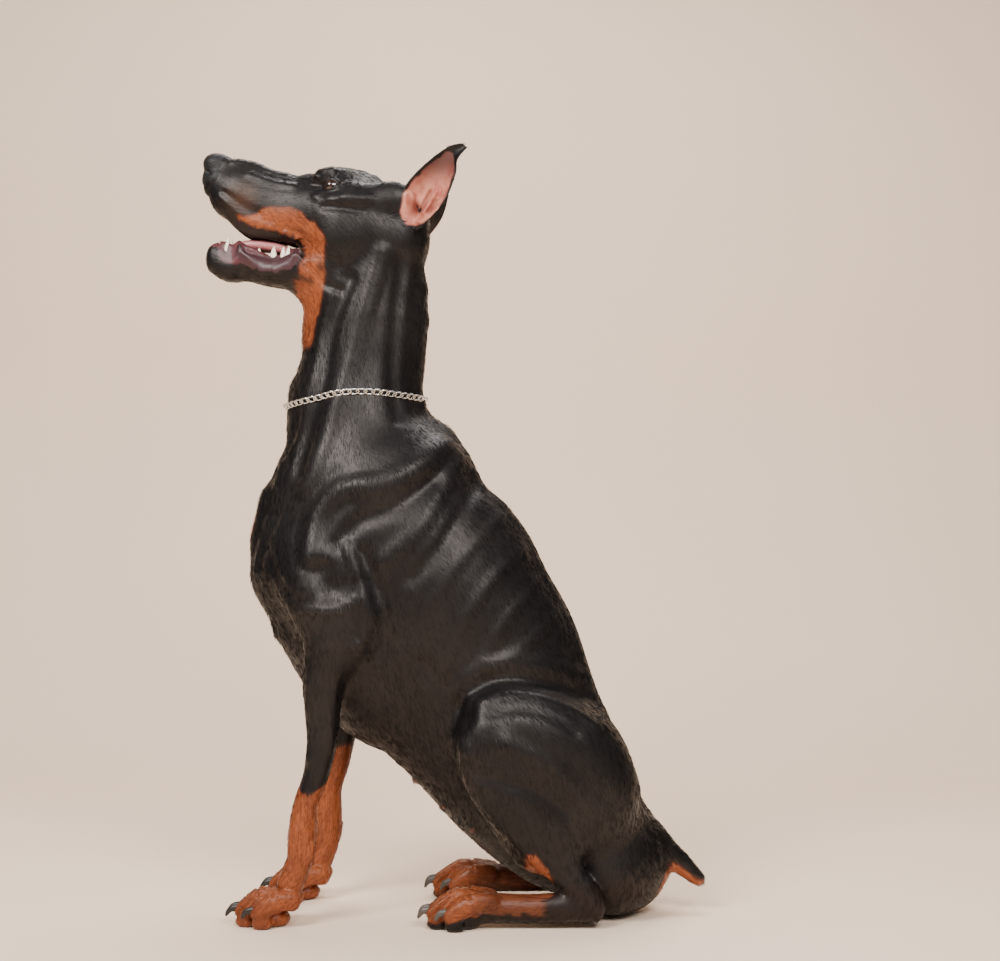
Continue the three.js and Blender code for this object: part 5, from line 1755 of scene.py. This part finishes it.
def store_lie(piece):
    """Keeps how far the hair runs level, at 45 degrees, upright and at 135, as seen from the side."""
    lie = lie_of_hair(places(piece), normals_of(piece))
    angle = np.degrees(np.arctan2(lie[:, 2], lie[:, 0])) % 180
    shares = {}
    for n in range(4):
        gap = np.abs(angle - 45 * n)
        gap = np.minimum(gap, 180 - gap)
        shares[n] = np.maximum(1 - gap / 45, 0)
    store_shares(piece, "lie", shares, 0, 1, 2)


# Materials
class Value:
    """An output of a finish's node, on which a sum adds Math nodes."""

    def __init__(self, finish, output):
        self.finish = finish
        self.output = output

    def worked(self, operation, *operands):
        return self.finish.node("ShaderNodeMath", {"operation": operation}, dict(enumerate(operands)))[0]

    def __add__(self, other):
        return self.worked("ADD", self, other)

    def __radd__(self, other):
        return self.worked("ADD", other, self)

    def __sub__(self, other):
        return self.worked("SUBTRACT", self, other)

    def __rsub__(self, other):
        return self.worked("SUBTRACT", other, self)

    def __mul__(self, other):
        return self.worked("MULTIPLY", self, other)

    def __rmul__(self, other):
        return self.worked("MULTIPLY", other, self)


class Finish:
    """A material that is built node by node."""

    def __init__(self, name):
        self.material = bpy.data.materials.new(name)
        self.material.use_nodes = True
        self.tree = self.material.node_tree
        self.tree.nodes.clear()

    def node(self, kind, settings, sockets):
        """Adds a node, sets it, feeds its sockets, and gives its outputs by place and by name."""
        node = self.tree.nodes.new(kind)
        for setting, value in settings.items():
            setattr(node, setting, value)
        for socket, value in sockets.items():
            if isinstance(value, Value):
                self.tree.links.new(value.output, node.inputs[socket])
            else:
                node.inputs[socket].default_value = value
        outputs = {output.name: Value(self, output) for output in reversed(node.outputs)}
        outputs.update({n: Value(self, output) for n, output in enumerate(node.outputs)})
        return outputs

    def place(self, scale=(1, 1, 1), turn=(0, 0, 0)):
        """The place on the object, turned and scaled."""
        here = self.node("ShaderNodeTexCoord", {}, {})["Object"]
        sockets = {"Vector": here, "Scale": scale, "Rotation": turn}
        return self.node("ShaderNodeMapping", {"vector_type": "POINT"}, sockets)["Vector"]

    def noise(self, place, scale, detail=2.0, roughness=0.5):
        sockets = {"Vector": place, "Scale": scale, "Detail": detail, "Roughness": roughness}
        return self.node("ShaderNodeTexNoise", {}, sockets)[0]

    def cells(self, place, scale, feature="F1"):
        sockets = {"Vector": place, "Scale": scale}
        return self.node("ShaderNodeTexVoronoi", {"feature": feature}, sockets)["Distance"]

    def rise(self, value, low, high):
        """0 below low, 1 above high and smooth between them."""
        settings = {"interpolation_type": "SMOOTHSTEP"}
        return self.node("ShaderNodeMapRange", settings, {0: value, 1: low, 2: high})[0]

    def stored(self, attribute, output="Fac"):
        """A value, or a colour, that is kept at each vertex of the piece."""
        return self.node("ShaderNodeAttribute", {"attribute_name": attribute}, {})[output]

    def share(self, attribute):
        """The red, green and blue of a colour attribute, as three values."""
        parts = self.node("ShaderNodeSeparateColor", {}, {"Color": self.stored(attribute, "Color")})
        return parts[0], parts[1], parts[2]

    def mixed(self, factor, first, second):
        sockets = {0: factor, 6: first, 7: second}
        return self.node("ShaderNodeMix", {"data_type": "RGBA"}, sockets)[2]

    def bump(self, height, depth, strength=1.0, under=None):
        sockets = {"Height": height, "Distance": depth, "Strength": strength}
        if under:
            sockets["Normal"] = under
        return self.node("ShaderNodeBump", {}, sockets)["Normal"]

    def surface(self, **sockets):
        """A Principled surface; its sockets are named with underscores for spaces."""
        named = {name.replace("_", " "): value for name, value in sockets.items()}
        return self.node("ShaderNodeBsdfPrincipled", {}, named)["BSDF"]

    def finished(self, surface):
        self.node("ShaderNodeOutputMaterial", {}, {"Surface": surface})
        return self.material


def rgb(*parts):
    return (*parts, 1.0)


# The four ways in which strands are drawn, as turns about y
LIE_TURNS = (0.0, -math.radians(45), -math.radians(90), -math.radians(135))


def hair_streaks(finish, scale, stretch):
    """Fine strands along the coat, in the direction in which the hair lies at each place."""
    level, rising, upright = finish.share("lie")
    total = None
    for share, turn in zip((level, rising, upright, 1 - (level + rising + upright)), LIE_TURNS):
        here = finish.node("ShaderNodeTexCoord", {}, {})["Object"]
        place = finish.node("ShaderNodeMapping", {"vector_type": "TEXTURE"}, {
            "Vector": here, "Rotation": (0, turn, 0), "Scale": (stretch, 1, 1),
        })["Vector"]
        streaks = finish.noise(place, scale, 2.0, 0.6) * share
        total = streaks if total is None else total + streaks
    return total


def coat_colour(finish, colours, fine):
    """Near black with brown lights, rust markings with dark edges, darker moles and toe streaks, and
    painted shade on the rear of the hind metatarsus.
    """
    rust, dark, brown = finish.share("marks")
    broad = finish.noise(finish.place(), 11, 3.0)
    black = finish.mixed(finish.rise(broad, 0.42, 0.7), colours.black, colours.black_light)
    light = finish.rise(0.6 * fine + 0.5 * broad, 0.4, 0.75)
    tone = finish.mixed(light, colours.rust, colours.rust_light)
    colour = finish.mixed(brown, black, colours.brown)
    colour = finish.mixed(finish.rise(rust + 0.12 * fine, 0.16, 0.62), colour, colours.rust_edge)
    colour = finish.mixed(finish.rise(rust + 0.2 * fine, 0.5, 1.0), colour, tone)
    # Moles and toe streaks, and the painted shade on the rear of the hind metatarsus
    return finish.mixed(dark, colour, colours.spot_and_shade)


def skin_finish(colours):
    finish = Finish("skin_coat")
    fine = hair_streaks(finish, 520, 7.0)
    coarse = hair_streaks(finish, 150, 6.0)
    pores = finish.noise(finish.place(), 420, 3.0, 0.6)
    pink, lip, mauve = finish.share("mouth")
    nose, ear, canal = finish.share("bare")
    colour = coat_colour(finish, colours, fine)
    height = finish.node("ShaderNodeSeparateXYZ", {}, {"Vector": finish.place()})["Z"]
    cloud = finish.noise(finish.place(), 60, 3.0)
    inner = finish.mixed(finish.rise(cloud, 0.35, 0.65), colours.ear_inner, colours.ear_light)
    inner = finish.mixed(finish.rise(height + 0.02 * cloud, 0.855, 0.893), inner, colours.ear_edge)
    colour = finish.mixed(finish.rise(ear, 0.1, 0.55), colour, colours.ear_edge)
    colour = finish.mixed(finish.rise(ear, 0.45, 1.0), colour, inner)
    # Painted shade in the ear canal and in the folds inside the ears
    colour = finish.mixed(canal, colour, colours.ear_deep)
    colour = finish.mixed(lip, colour, colours.lip)
    strands = finish.bump(fine, 0.0004, 0.5, finish.bump(coarse, 0.0012, 0.35))
    coat = finish.surface(
        Base_Color=colour,
        Roughness=0.3 + 0.2 * fine,
        Specular_IOR_Level=0.28,
        Specular_Tint=rgb(1.0, 0.93, 0.89),
        Normal=strands,
    )
    pebbles = finish.cells(finish.place(), 560)
    flesh = finish.mixed(finish.noise(finish.place(), 90, 3.0), colours.gum, colours.gum_dark)
    flesh = finish.mixed(finish.rise(mauve, 0.2, 0.7), flesh, colours.mauve)
    wet = finish.mixed(finish.rise(nose, 0.02, 0.2), flesh, colours.nose)
    moist = finish.surface(
        Base_Color=wet,
        Roughness=0.34 + 0.2 * pores + 0.1 * nose,
        Specular_IOR_Level=0.32,
        Coat_Weight=0.12 - 0.08 * nose,
        Coat_Roughness=0.2,
        Normal=finish.bump(pebbles * nose + 0.4 * pores * (1 - nose), 0.0007, 0.6),
    )
    bare = finish.rise(pink + mauve + nose + 0.3 * cloud, 0.5, 0.85)
    return finish.finished(finish.node("ShaderNodeMixShader", {}, {0: bare, 1: coat, 2: moist})[0])


def tuft_finish(colours):
    """Hair of the tufts: the colour of the skin under it, a little lighter or darker."""
    finish = Finish("coat_hair")
    strand = finish.stored("strand")
    fine = finish.noise(finish.place(), 300, 2.0)
    colour = coat_colour(finish, colours, 0.5 * strand + 0.5 * fine)
    shade = {"Color": colour, "Value": 0.72 + 0.33 * strand}
    bright = finish.node("ShaderNodeHueSaturation", {}, shade)["Color"]
    return finish.finished(finish.surface(
        Base_Color=bright,
        Roughness=0.4 + 0.14 * strand,
        Specular_IOR_Level=0.26,
        Specular_Tint=rgb(1.0, 0.93, 0.89),
    ))


def tooth_finish(colours):
    finish = Finish("tooth_enamel")
    cloud = finish.noise(finish.place(), 130, 3.0)
    colour = finish.mixed(cloud, colours.enamel, colours.enamel_warm)
    lines = finish.noise(finish.place(scale=(1, 1, 0.2)), 900, 2.0)
    return finish.finished(finish.surface(
        Base_Color=colour, Roughness=0.2 + 0.15 * cloud, Coat_Weight=0.3,
        Subsurface_Weight=0.1, Subsurface_Radius=(0.004, 0.003, 0.002), Subsurface_Scale=0.3,
        Normal=finish.bump(lines, 0.0002, 0.3),
    ))


def tongue_finish(colours):
    finish = Finish("tongue_flesh")
    buds = finish.cells(finish.place(), 700)
    cloud = finish.noise(finish.place(), 60, 3.0)
    return finish.finished(finish.surface(
        Base_Color=finish.mixed(cloud, colours.tongue, colours.tongue_light),
        Roughness=0.28 + 0.2 * buds, Coat_Weight=0.4, Coat_Roughness=0.2,
        Normal=finish.bump(1 - buds, 0.0008, 0.6),
    ))


def claw_finish(colours):
    finish = Finish("claw_horn")
    pale = finish.stored("pale")
    grain = finish.noise(finish.place(scale=(0.15, 1, 1)), 700, 3.0)
    colour = finish.mixed(pale, colours.claw, colours.claw_pale)
    return finish.finished(finish.surface(
        Base_Color=finish.mixed(0.3 * grain, colour, colours.claw), Roughness=0.28 + 0.3 * grain,
        Normal=finish.bump(grain, 0.0004, 0.5),
    ))


def eye_finish(colours):
    """Pupil, iris, dark rim and white of the eye, by the angle from its middle."""
    finish = Finish("eye_gloss")
    angle = finish.stored("angle")
    fibres = finish.noise(finish.place(), 500, 4.0, 0.7)
    iris = finish.mixed(fibres, colours.iris, colours.iris_light)
    colour = finish.mixed(finish.rise(angle + 0.03 * fibres, 0.24, 0.28), colours.pupil, iris)
    colour = finish.mixed(finish.rise(angle, 0.5, 0.6), colour, colours.pupil)
    colour = finish.mixed(finish.rise(angle, 0.66, 0.8), colour, colours.eye_white)
    return finish.finished(finish.surface(
        Base_Color=colour, Roughness=0.08 + 0.04 * fibres, Coat_Weight=1.0, Coat_Roughness=0.02,
    ))


def chain_finish(colours):
    finish = Finish("chain_steel")
    scratches = finish.noise(finish.place(), 900, 3.0)
    return finish.finished(finish.surface(
        Base_Color=finish.mixed(scratches, colours.steel, colours.steel_dark), Metallic=1.0,
        Roughness=0.1 + 0.18 * scratches, Normal=finish.bump(scratches, 0.0001, 0.25),
    ))


def paint(name, description, *parts):
    return bpy.props.FloatVectorProperty(
        name=name, description=description, subtype="COLOR", size=3, min=0, max=1, default=parts,
    )


class DobermanColours(bpy.types.PropertyGroup):
    """Colours of the coat and of the bare skin."""

    black: paint("Black", "Coat in the shade", 0.0045, 0.0038, 0.0042)
    black_light: paint("Black, lighter", "Coat where hairs catch the light", 0.0095, 0.008, 0.008)
    brown: paint("Brown tinge", "Side of the muzzle", 0.05, 0.022, 0.012)
    rust: paint("Rust", "Rust markings", 0.13, 0.031, 0.011)
    rust_light: paint("Rust, lighter", "Tips of the rust hair", 0.33, 0.088, 0.03)
    ear_inner: paint("Inner ear", "Bare skin inside the ears", 0.33, 0.085, 0.06)
    ear_light: paint("Inner ear, lighter", "Thin skin inside the ears", 0.58, 0.23, 0.16)
    # Painted shade of the ear canal and of the folds inside the ears
    ear_deep: paint("Ear canal", "Deep part of the ears", 0.11, 0.016, 0.013)
    lip: paint("Lip", "Bare edge of the upper lip", 0.012, 0.007, 0.007)
    rust_edge: paint("Rust, edge", "Dark red-brown edge of the rust markings", 0.045, 0.012, 0.007)
    # Also the colour of the painted shade on the rear of the hind metatarsus
    spot_and_shade: paint("Dark spots", "Moles, and streaks on the toes", 0.012, 0.006, 0.005)
    ear_edge: paint("Ear, edge", "Mauve-brown rim inside the ears", 0.1, 0.04, 0.035)
    mauve: paint("Lower lip", "Inside of the lower lip", 0.05, 0.02, 0.024)
    gum: paint("Gum", "Gums and palate", 0.12, 0.03, 0.036)
    gum_dark: paint("Gum, darker", "Darker parts of the gums", 0.045, 0.012, 0.015)
    nose: paint("Nose", "Leather of the nose", 0.006, 0.0055, 0.006)
    tongue: paint("Tongue", "Tongue", 0.36, 0.1, 0.11)
    tongue_light: paint("Tongue, lighter", "Paler parts of the tongue", 0.5, 0.19, 0.19)
    enamel: paint("Teeth", "Enamel of the teeth", 0.84, 0.77, 0.66)
    enamel_warm: paint("Teeth, warmer", "Enamel near the roots", 0.72, 0.58, 0.42)
    claw: paint("Claws", "Dark horn", 0.012, 0.01, 0.009)
    claw_pale: paint("Hind claws", "Pale horn", 0.1, 0.085, 0.072)
    pupil: paint("Pupil", "Pupil and rim of the iris", 0.003, 0.003, 0.003)
    iris: paint("Iris", "Dark brown iris", 0.02, 0.008, 0.004)
    iris_light: paint("Iris, lighter", "Fibres of the iris", 0.05, 0.02, 0.009)
    eye_white: paint("White of the eye", "Dull white in the corners", 0.035, 0.018, 0.014)
    steel: paint("Chain", "Bright steel", 0.8, 0.79, 0.77)
    steel_dark: paint("Chain, darker", "Duller steel", 0.5, 0.49, 0.47)


def colours_of(scene):
    group = scene.doberman_colours
    names = DobermanColours.__annotations__
    return SimpleNamespace(**{name: rgb(*getattr(group, name)) for name in names})


def length_of(name, description, default, low, high):
    return bpy.props.FloatProperty(
        name=name, description=description, default=default, min=low, max=high, unit="LENGTH",
    )


class DobermanSizes(bpy.types.PropertyGroup):
    """Sizes of the coat and of the small parts."""

    coat_depth: length_of("Coat depth", "How far the skin lies inside the solids", 0.0015, 0.0005, 0.004)
    chain_links: bpy.props.IntProperty(
        name="Chain links", description="Number of links in the collar", default=50, min=20, max=120,
    )
    link_length: length_of("Link length", "Length of a link's middle line", 0.0124, 0.004, 0.02)
    link_width: length_of("Link width", "Width of a link's middle line", 0.0068, 0.003, 0.015)
    link_wire: length_of("Link wire", "Thickness of a link's wire", 0.0022, 0.0008, 0.004)


FLESH_NODES = (
    "head", "nose_pad", "lower_jaw", "tongue", "ear_left", "ear_right", "neck", "chest", "rump",
    "tail", "foreleg_left", "foreleg_right", "forefoot_left", "forefoot_right", "thigh_left",
    "thigh_right", "hind_foot_left", "hind_foot_right",
)


class DobermanSkin(bpy.types.Operator):
    """Makes the whole skin with its muscles, face, ears and markings"""

    bl_idname = "doberman.skin"
    bl_label = "Skin"

    def execute(self, context):
        skin = build_skin(context.scene.doberman_sizes.coat_depth / MM)
        eased_skin(skin)
        vertices = places(skin)
        normals = normals_of(skin)
        relief = relief_of(vertices, normals, tree_of(skin))
        move_to(skin, vertices + normals * relief[:, None])
        move_to(skin, hung_lips(raised_chin(opened_lids(places(skin)))))
        with_ears(skin)
        store_markings(skin)
        store_lie(skin)
        skin.data.materials.append(skin_finish(colours_of(context.scene)))
        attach(skin, BODY)
        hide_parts(*FLESH_NODES)
        return {"FINISHED"}


def simple_piece(name, shells, material):
    """A finished piece of closed shells that rides on the animal."""
    piece = mesh_object(name, *shells)
    outward(piece)
    piece.data.materials.append(material)
    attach(piece, BODY)
    return piece


class DobermanMouth(bpy.types.Operator):
    """Makes the teeth and the tongue"""

    bl_idname = "doberman.mouth"
    bl_label = "Teeth and tongue"

    def execute(self, context):
        colours = colours_of(context.scene)
        rows = (*LOWER_TEETH, *UPPER_TEETH)
        shells = [tooth(row, side) for row in rows for side in (-1, 1)]
        simple_piece("teeth", put_together(shells), tooth_finish(colours))
        tongue = simple_piece("tongue_skin", tongue_shell(), tongue_finish(colours))
        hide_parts("tongue")
        return {"FINISHED"}


class DobermanEyes(bpy.types.Operator):
    """Makes both eyes"""

    bl_idname = "doberman.eyes"
    bl_label = "Eyes"

    def execute(self, context):
        material = eye_finish(colours_of(context.scene))
        for name, side in (("left", -1), ("right", 1)):
            vertices, faces, angles = eye_shell(side)
            eye = simple_piece(f"eyeball_{name}", (vertices, faces), material)
            store_value(eye, "angle", angles)
            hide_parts(f"eye_{name}")
        return {"FINISHED"}


class DobermanClaws(bpy.types.Operator):
    """Makes the claws of all feet"""

    bl_idname = "doberman.claws"
    bl_label = "Claws"

    def execute(self, context):
        shells, shades = claw_shells()
        claws = simple_piece("claws", shells, claw_finish(colours_of(context.scene)))
        store_value(claws, "pale", shades)
        return {"FINISHED"}


class DobermanChain(bpy.types.Operator):
    """Lays the links of the chain round the neck"""

    bl_idname = "doberman.chain"
    bl_label = "Chain collar"

    def execute(self, context):
        line = chain_line(tree_of(bpy.data.objects["skin"]))
        chain = linked_chain(line, context.scene.doberman_sizes, chain_finish(colours_of(context.scene)))
        outward(chain)
        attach(chain, BODY)
        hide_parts("collar_chain")
        return {"FINISHED"}


class DobermanCoat(bpy.types.Operator):
    """Grows the short tufts of the coat over the skin"""

    bl_idname = "doberman.coat"
    bl_label = "Coat"

    def execute(self, context):
        random = np.random.default_rng(TUFT_SEED)
        roots, normals, marks = hair_roots(bpy.data.objects["skin"], random)
        material = tuft_finish(colours_of(context.scene))
        on_foot = (marks["rust"] > 0.5) & (roots[:, 2] < COAT_FEET_TOP)
        on_head = roots[:, 2] > COAT_HEAD_BOTTOM
        left = roots[:, 1] < 0
        pieces = (
            ("coat_feet", on_foot, "rust_coat"),
            ("coat_head", on_head, "black_coat"),
            ("coat_left", ~on_foot & ~on_head & left, "black_coat"),
            ("coat_right", ~on_foot & ~on_head & ~left, "black_coat"),
        )
        for name, chosen, slot in pieces:
            rows = np.flatnonzero(chosen)
            if len(rows) > TUFTS_A_PIECE:
                raise RuntimeError(f"{name} has {len(rows)} tufts, more than {TUFTS_A_PIECE}")
            own = {mark: values[rows] for mark, values in marks.items()}
            piece = coat_piece(name, roots[rows], normals[rows], own, random)
            piece.data.materials.append(material)
            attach(piece, BODY)
        return {"FINISHED"}


# Camera, with its sensor and lens in millimetres
CAMERA_PLACE = (0.056, -2.0, 0.4286)
SENSOR_WIDTH = 36.0
LENS = 60.48
LENS_SHIFT = 0.0705
# Floor: its sides in x, its steps in y, and the bend at the last step that turns it up into a wall
FLOOR_SIDES = (-5.0, 5.0)
FLOOR_STEPS = (-3.0, -1.0, 1.0)
FLOOR_DROP = 0.0004
BEND_RADIUS = 0.9
BEND_START = 0.1
BEND_STEPS = 14
WALL_HEIGHTS = (2.0, 4.0)
FLOOR_COLOURS = ((0.9, 0.71, 0.55), (0.93, 0.75, 0.59))
ROOM_COLOUR = (0.86, 0.83, 0.8)
ROOM_STRENGTH = 0.26
# Lights: name, place, target, size, power and tint
LIGHTS = (
    ("window", (-1.3, -1.9, 2.2), (0, 0, 0.5), (1.2, 1.0), 98, (1.0, 0.96, 0.92)),
    ("front", (0.8, -2.3, 2.0), (0, 0, 0.45), (1.4, 1.0), 78, (1.0, 0.96, 0.92)),
    ("top", (0.2, 0.8, 2.4), (0, 0, 0.4), (1.6, 1.2), 40, (1.0, 0.97, 0.95)),
)


class DobermanStage(bpy.types.Operator):
    """Makes the floor and backdrop, the lights and the camera"""

    bl_idname = "doberman.stage"
    bl_label = "Stage"

    def execute(self, context):
        scene = context.scene
        lens = bpy.data.cameras.new("camera")
        lens.sensor_fit = "HORIZONTAL"
        lens.sensor_width = SENSOR_WIDTH
        lens.lens = LENS
        lens.shift_y = LENS_SHIFT
        camera = placed("camera", lens)
        camera.location = CAMERA_PLACE
        camera.rotation_euler = (math.radians(90), 0, 0)
        scene.camera = camera
        profile = [(y, 0.0) for y in FLOOR_STEPS]
        for angle in np.linspace(BEND_START, math.pi / 2, BEND_STEPS):
            y = FLOOR_STEPS[-1] + BEND_RADIUS * math.sin(angle)
            profile.append((y, BEND_RADIUS - BEND_RADIUS * math.cos(angle)))
        profile += [(FLOOR_STEPS[-1] + BEND_RADIUS, height) for height in WALL_HEIGHTS]
        vertices = [(x, y, z - FLOOR_DROP) for x in FLOOR_SIDES for y, z in profile]
        n = len(profile)
        floor = mesh_object("floor", vertices, [(i, n + i, n + i + 1, i + 1) for i in range(n - 1)], 1.0)
        finish = Finish("pale_floor")
        grain = finish.noise(finish.place(), 3.0, 3.0)
        tone = finish.mixed(grain, *[rgb(*colour) for colour in FLOOR_COLOURS])
        floor.data.materials.append(finish.finished(finish.surface(Base_Color=tone, Roughness=0.8)))
        floor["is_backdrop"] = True
        world = bpy.data.worlds.new("room")
        world.use_nodes = True
        background = world.node_tree.nodes["Background"].inputs
        background["Color"].default_value = rgb(*ROOM_COLOUR)
        background["Strength"].default_value = ROOM_STRENGTH
        scene.world = world
        for name, place, target, size, power, tint in LIGHTS:
            lamp = bpy.data.lights.new(name, "AREA")
            lamp.shape = "RECTANGLE"
            lamp.size, lamp.size_y = size
            lamp.energy = power
            lamp.color = tint
            light = placed(name, lamp)
            light.location = place
            light.rotation_euler = (Vector(target) - Vector(place)).to_track_quat("-Z", "Y").to_euler()
        return {"FINISHED"}


class DobermanPanel(bpy.types.Panel):
    """Lists the pieces of the animal and their sizes and colours"""

    bl_idname = "VIEW3D_PT_doberman"
    bl_label = "Sitting Doberman"
    bl_space_type = "VIEW_3D"
    bl_region_type = "UI"
    bl_category = "Doberman"

    def draw(self, context):
        layout = self.layout
        for group in (context.scene.doberman_sizes, context.scene.doberman_colours):
            for name in type(group).__annotations__:
                layout.prop(group, name)
        for operator in OPERATORS:
            layout.operator(operator.bl_idname)


GROUPS = (DobermanColours, DobermanSizes)
OPERATORS = (
    DobermanStage, DobermanSkin, DobermanMouth, DobermanEyes, DobermanClaws, DobermanChain, DobermanCoat,
)


def register():
    for item in (*GROUPS, *OPERATORS, DobermanPanel):
        bpy.utils.register_class(item)
    bpy.types.Scene.doberman_colours = bpy.props.PointerProperty(type=DobermanColours)
    bpy.types.Scene.doberman_sizes = bpy.props.PointerProperty(type=DobermanSizes)


def unregister():
    del bpy.types.Scene.doberman_sizes
    del bpy.types.Scene.doberman_colours
    for item in reversed((*GROUPS, *OPERATORS, DobermanPanel)):
        bpy.utils.unregister_class(item)


def main():
    register()
    bpy.ops.doberman.stage()
    bpy.ops.doberman.skin()
    bpy.ops.doberman.mouth()
    bpy.ops.doberman.eyes()
    bpy.ops.doberman.claws()
    bpy.ops.doberman.chain()
    bpy.ops.doberman.coat()
    sizes = {"cad": CAD_BOX, "visual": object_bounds()}
    {name: [list(corner) for corner in box] for name, box in sizes.items()}


if __name__ == "__main__":
    main()
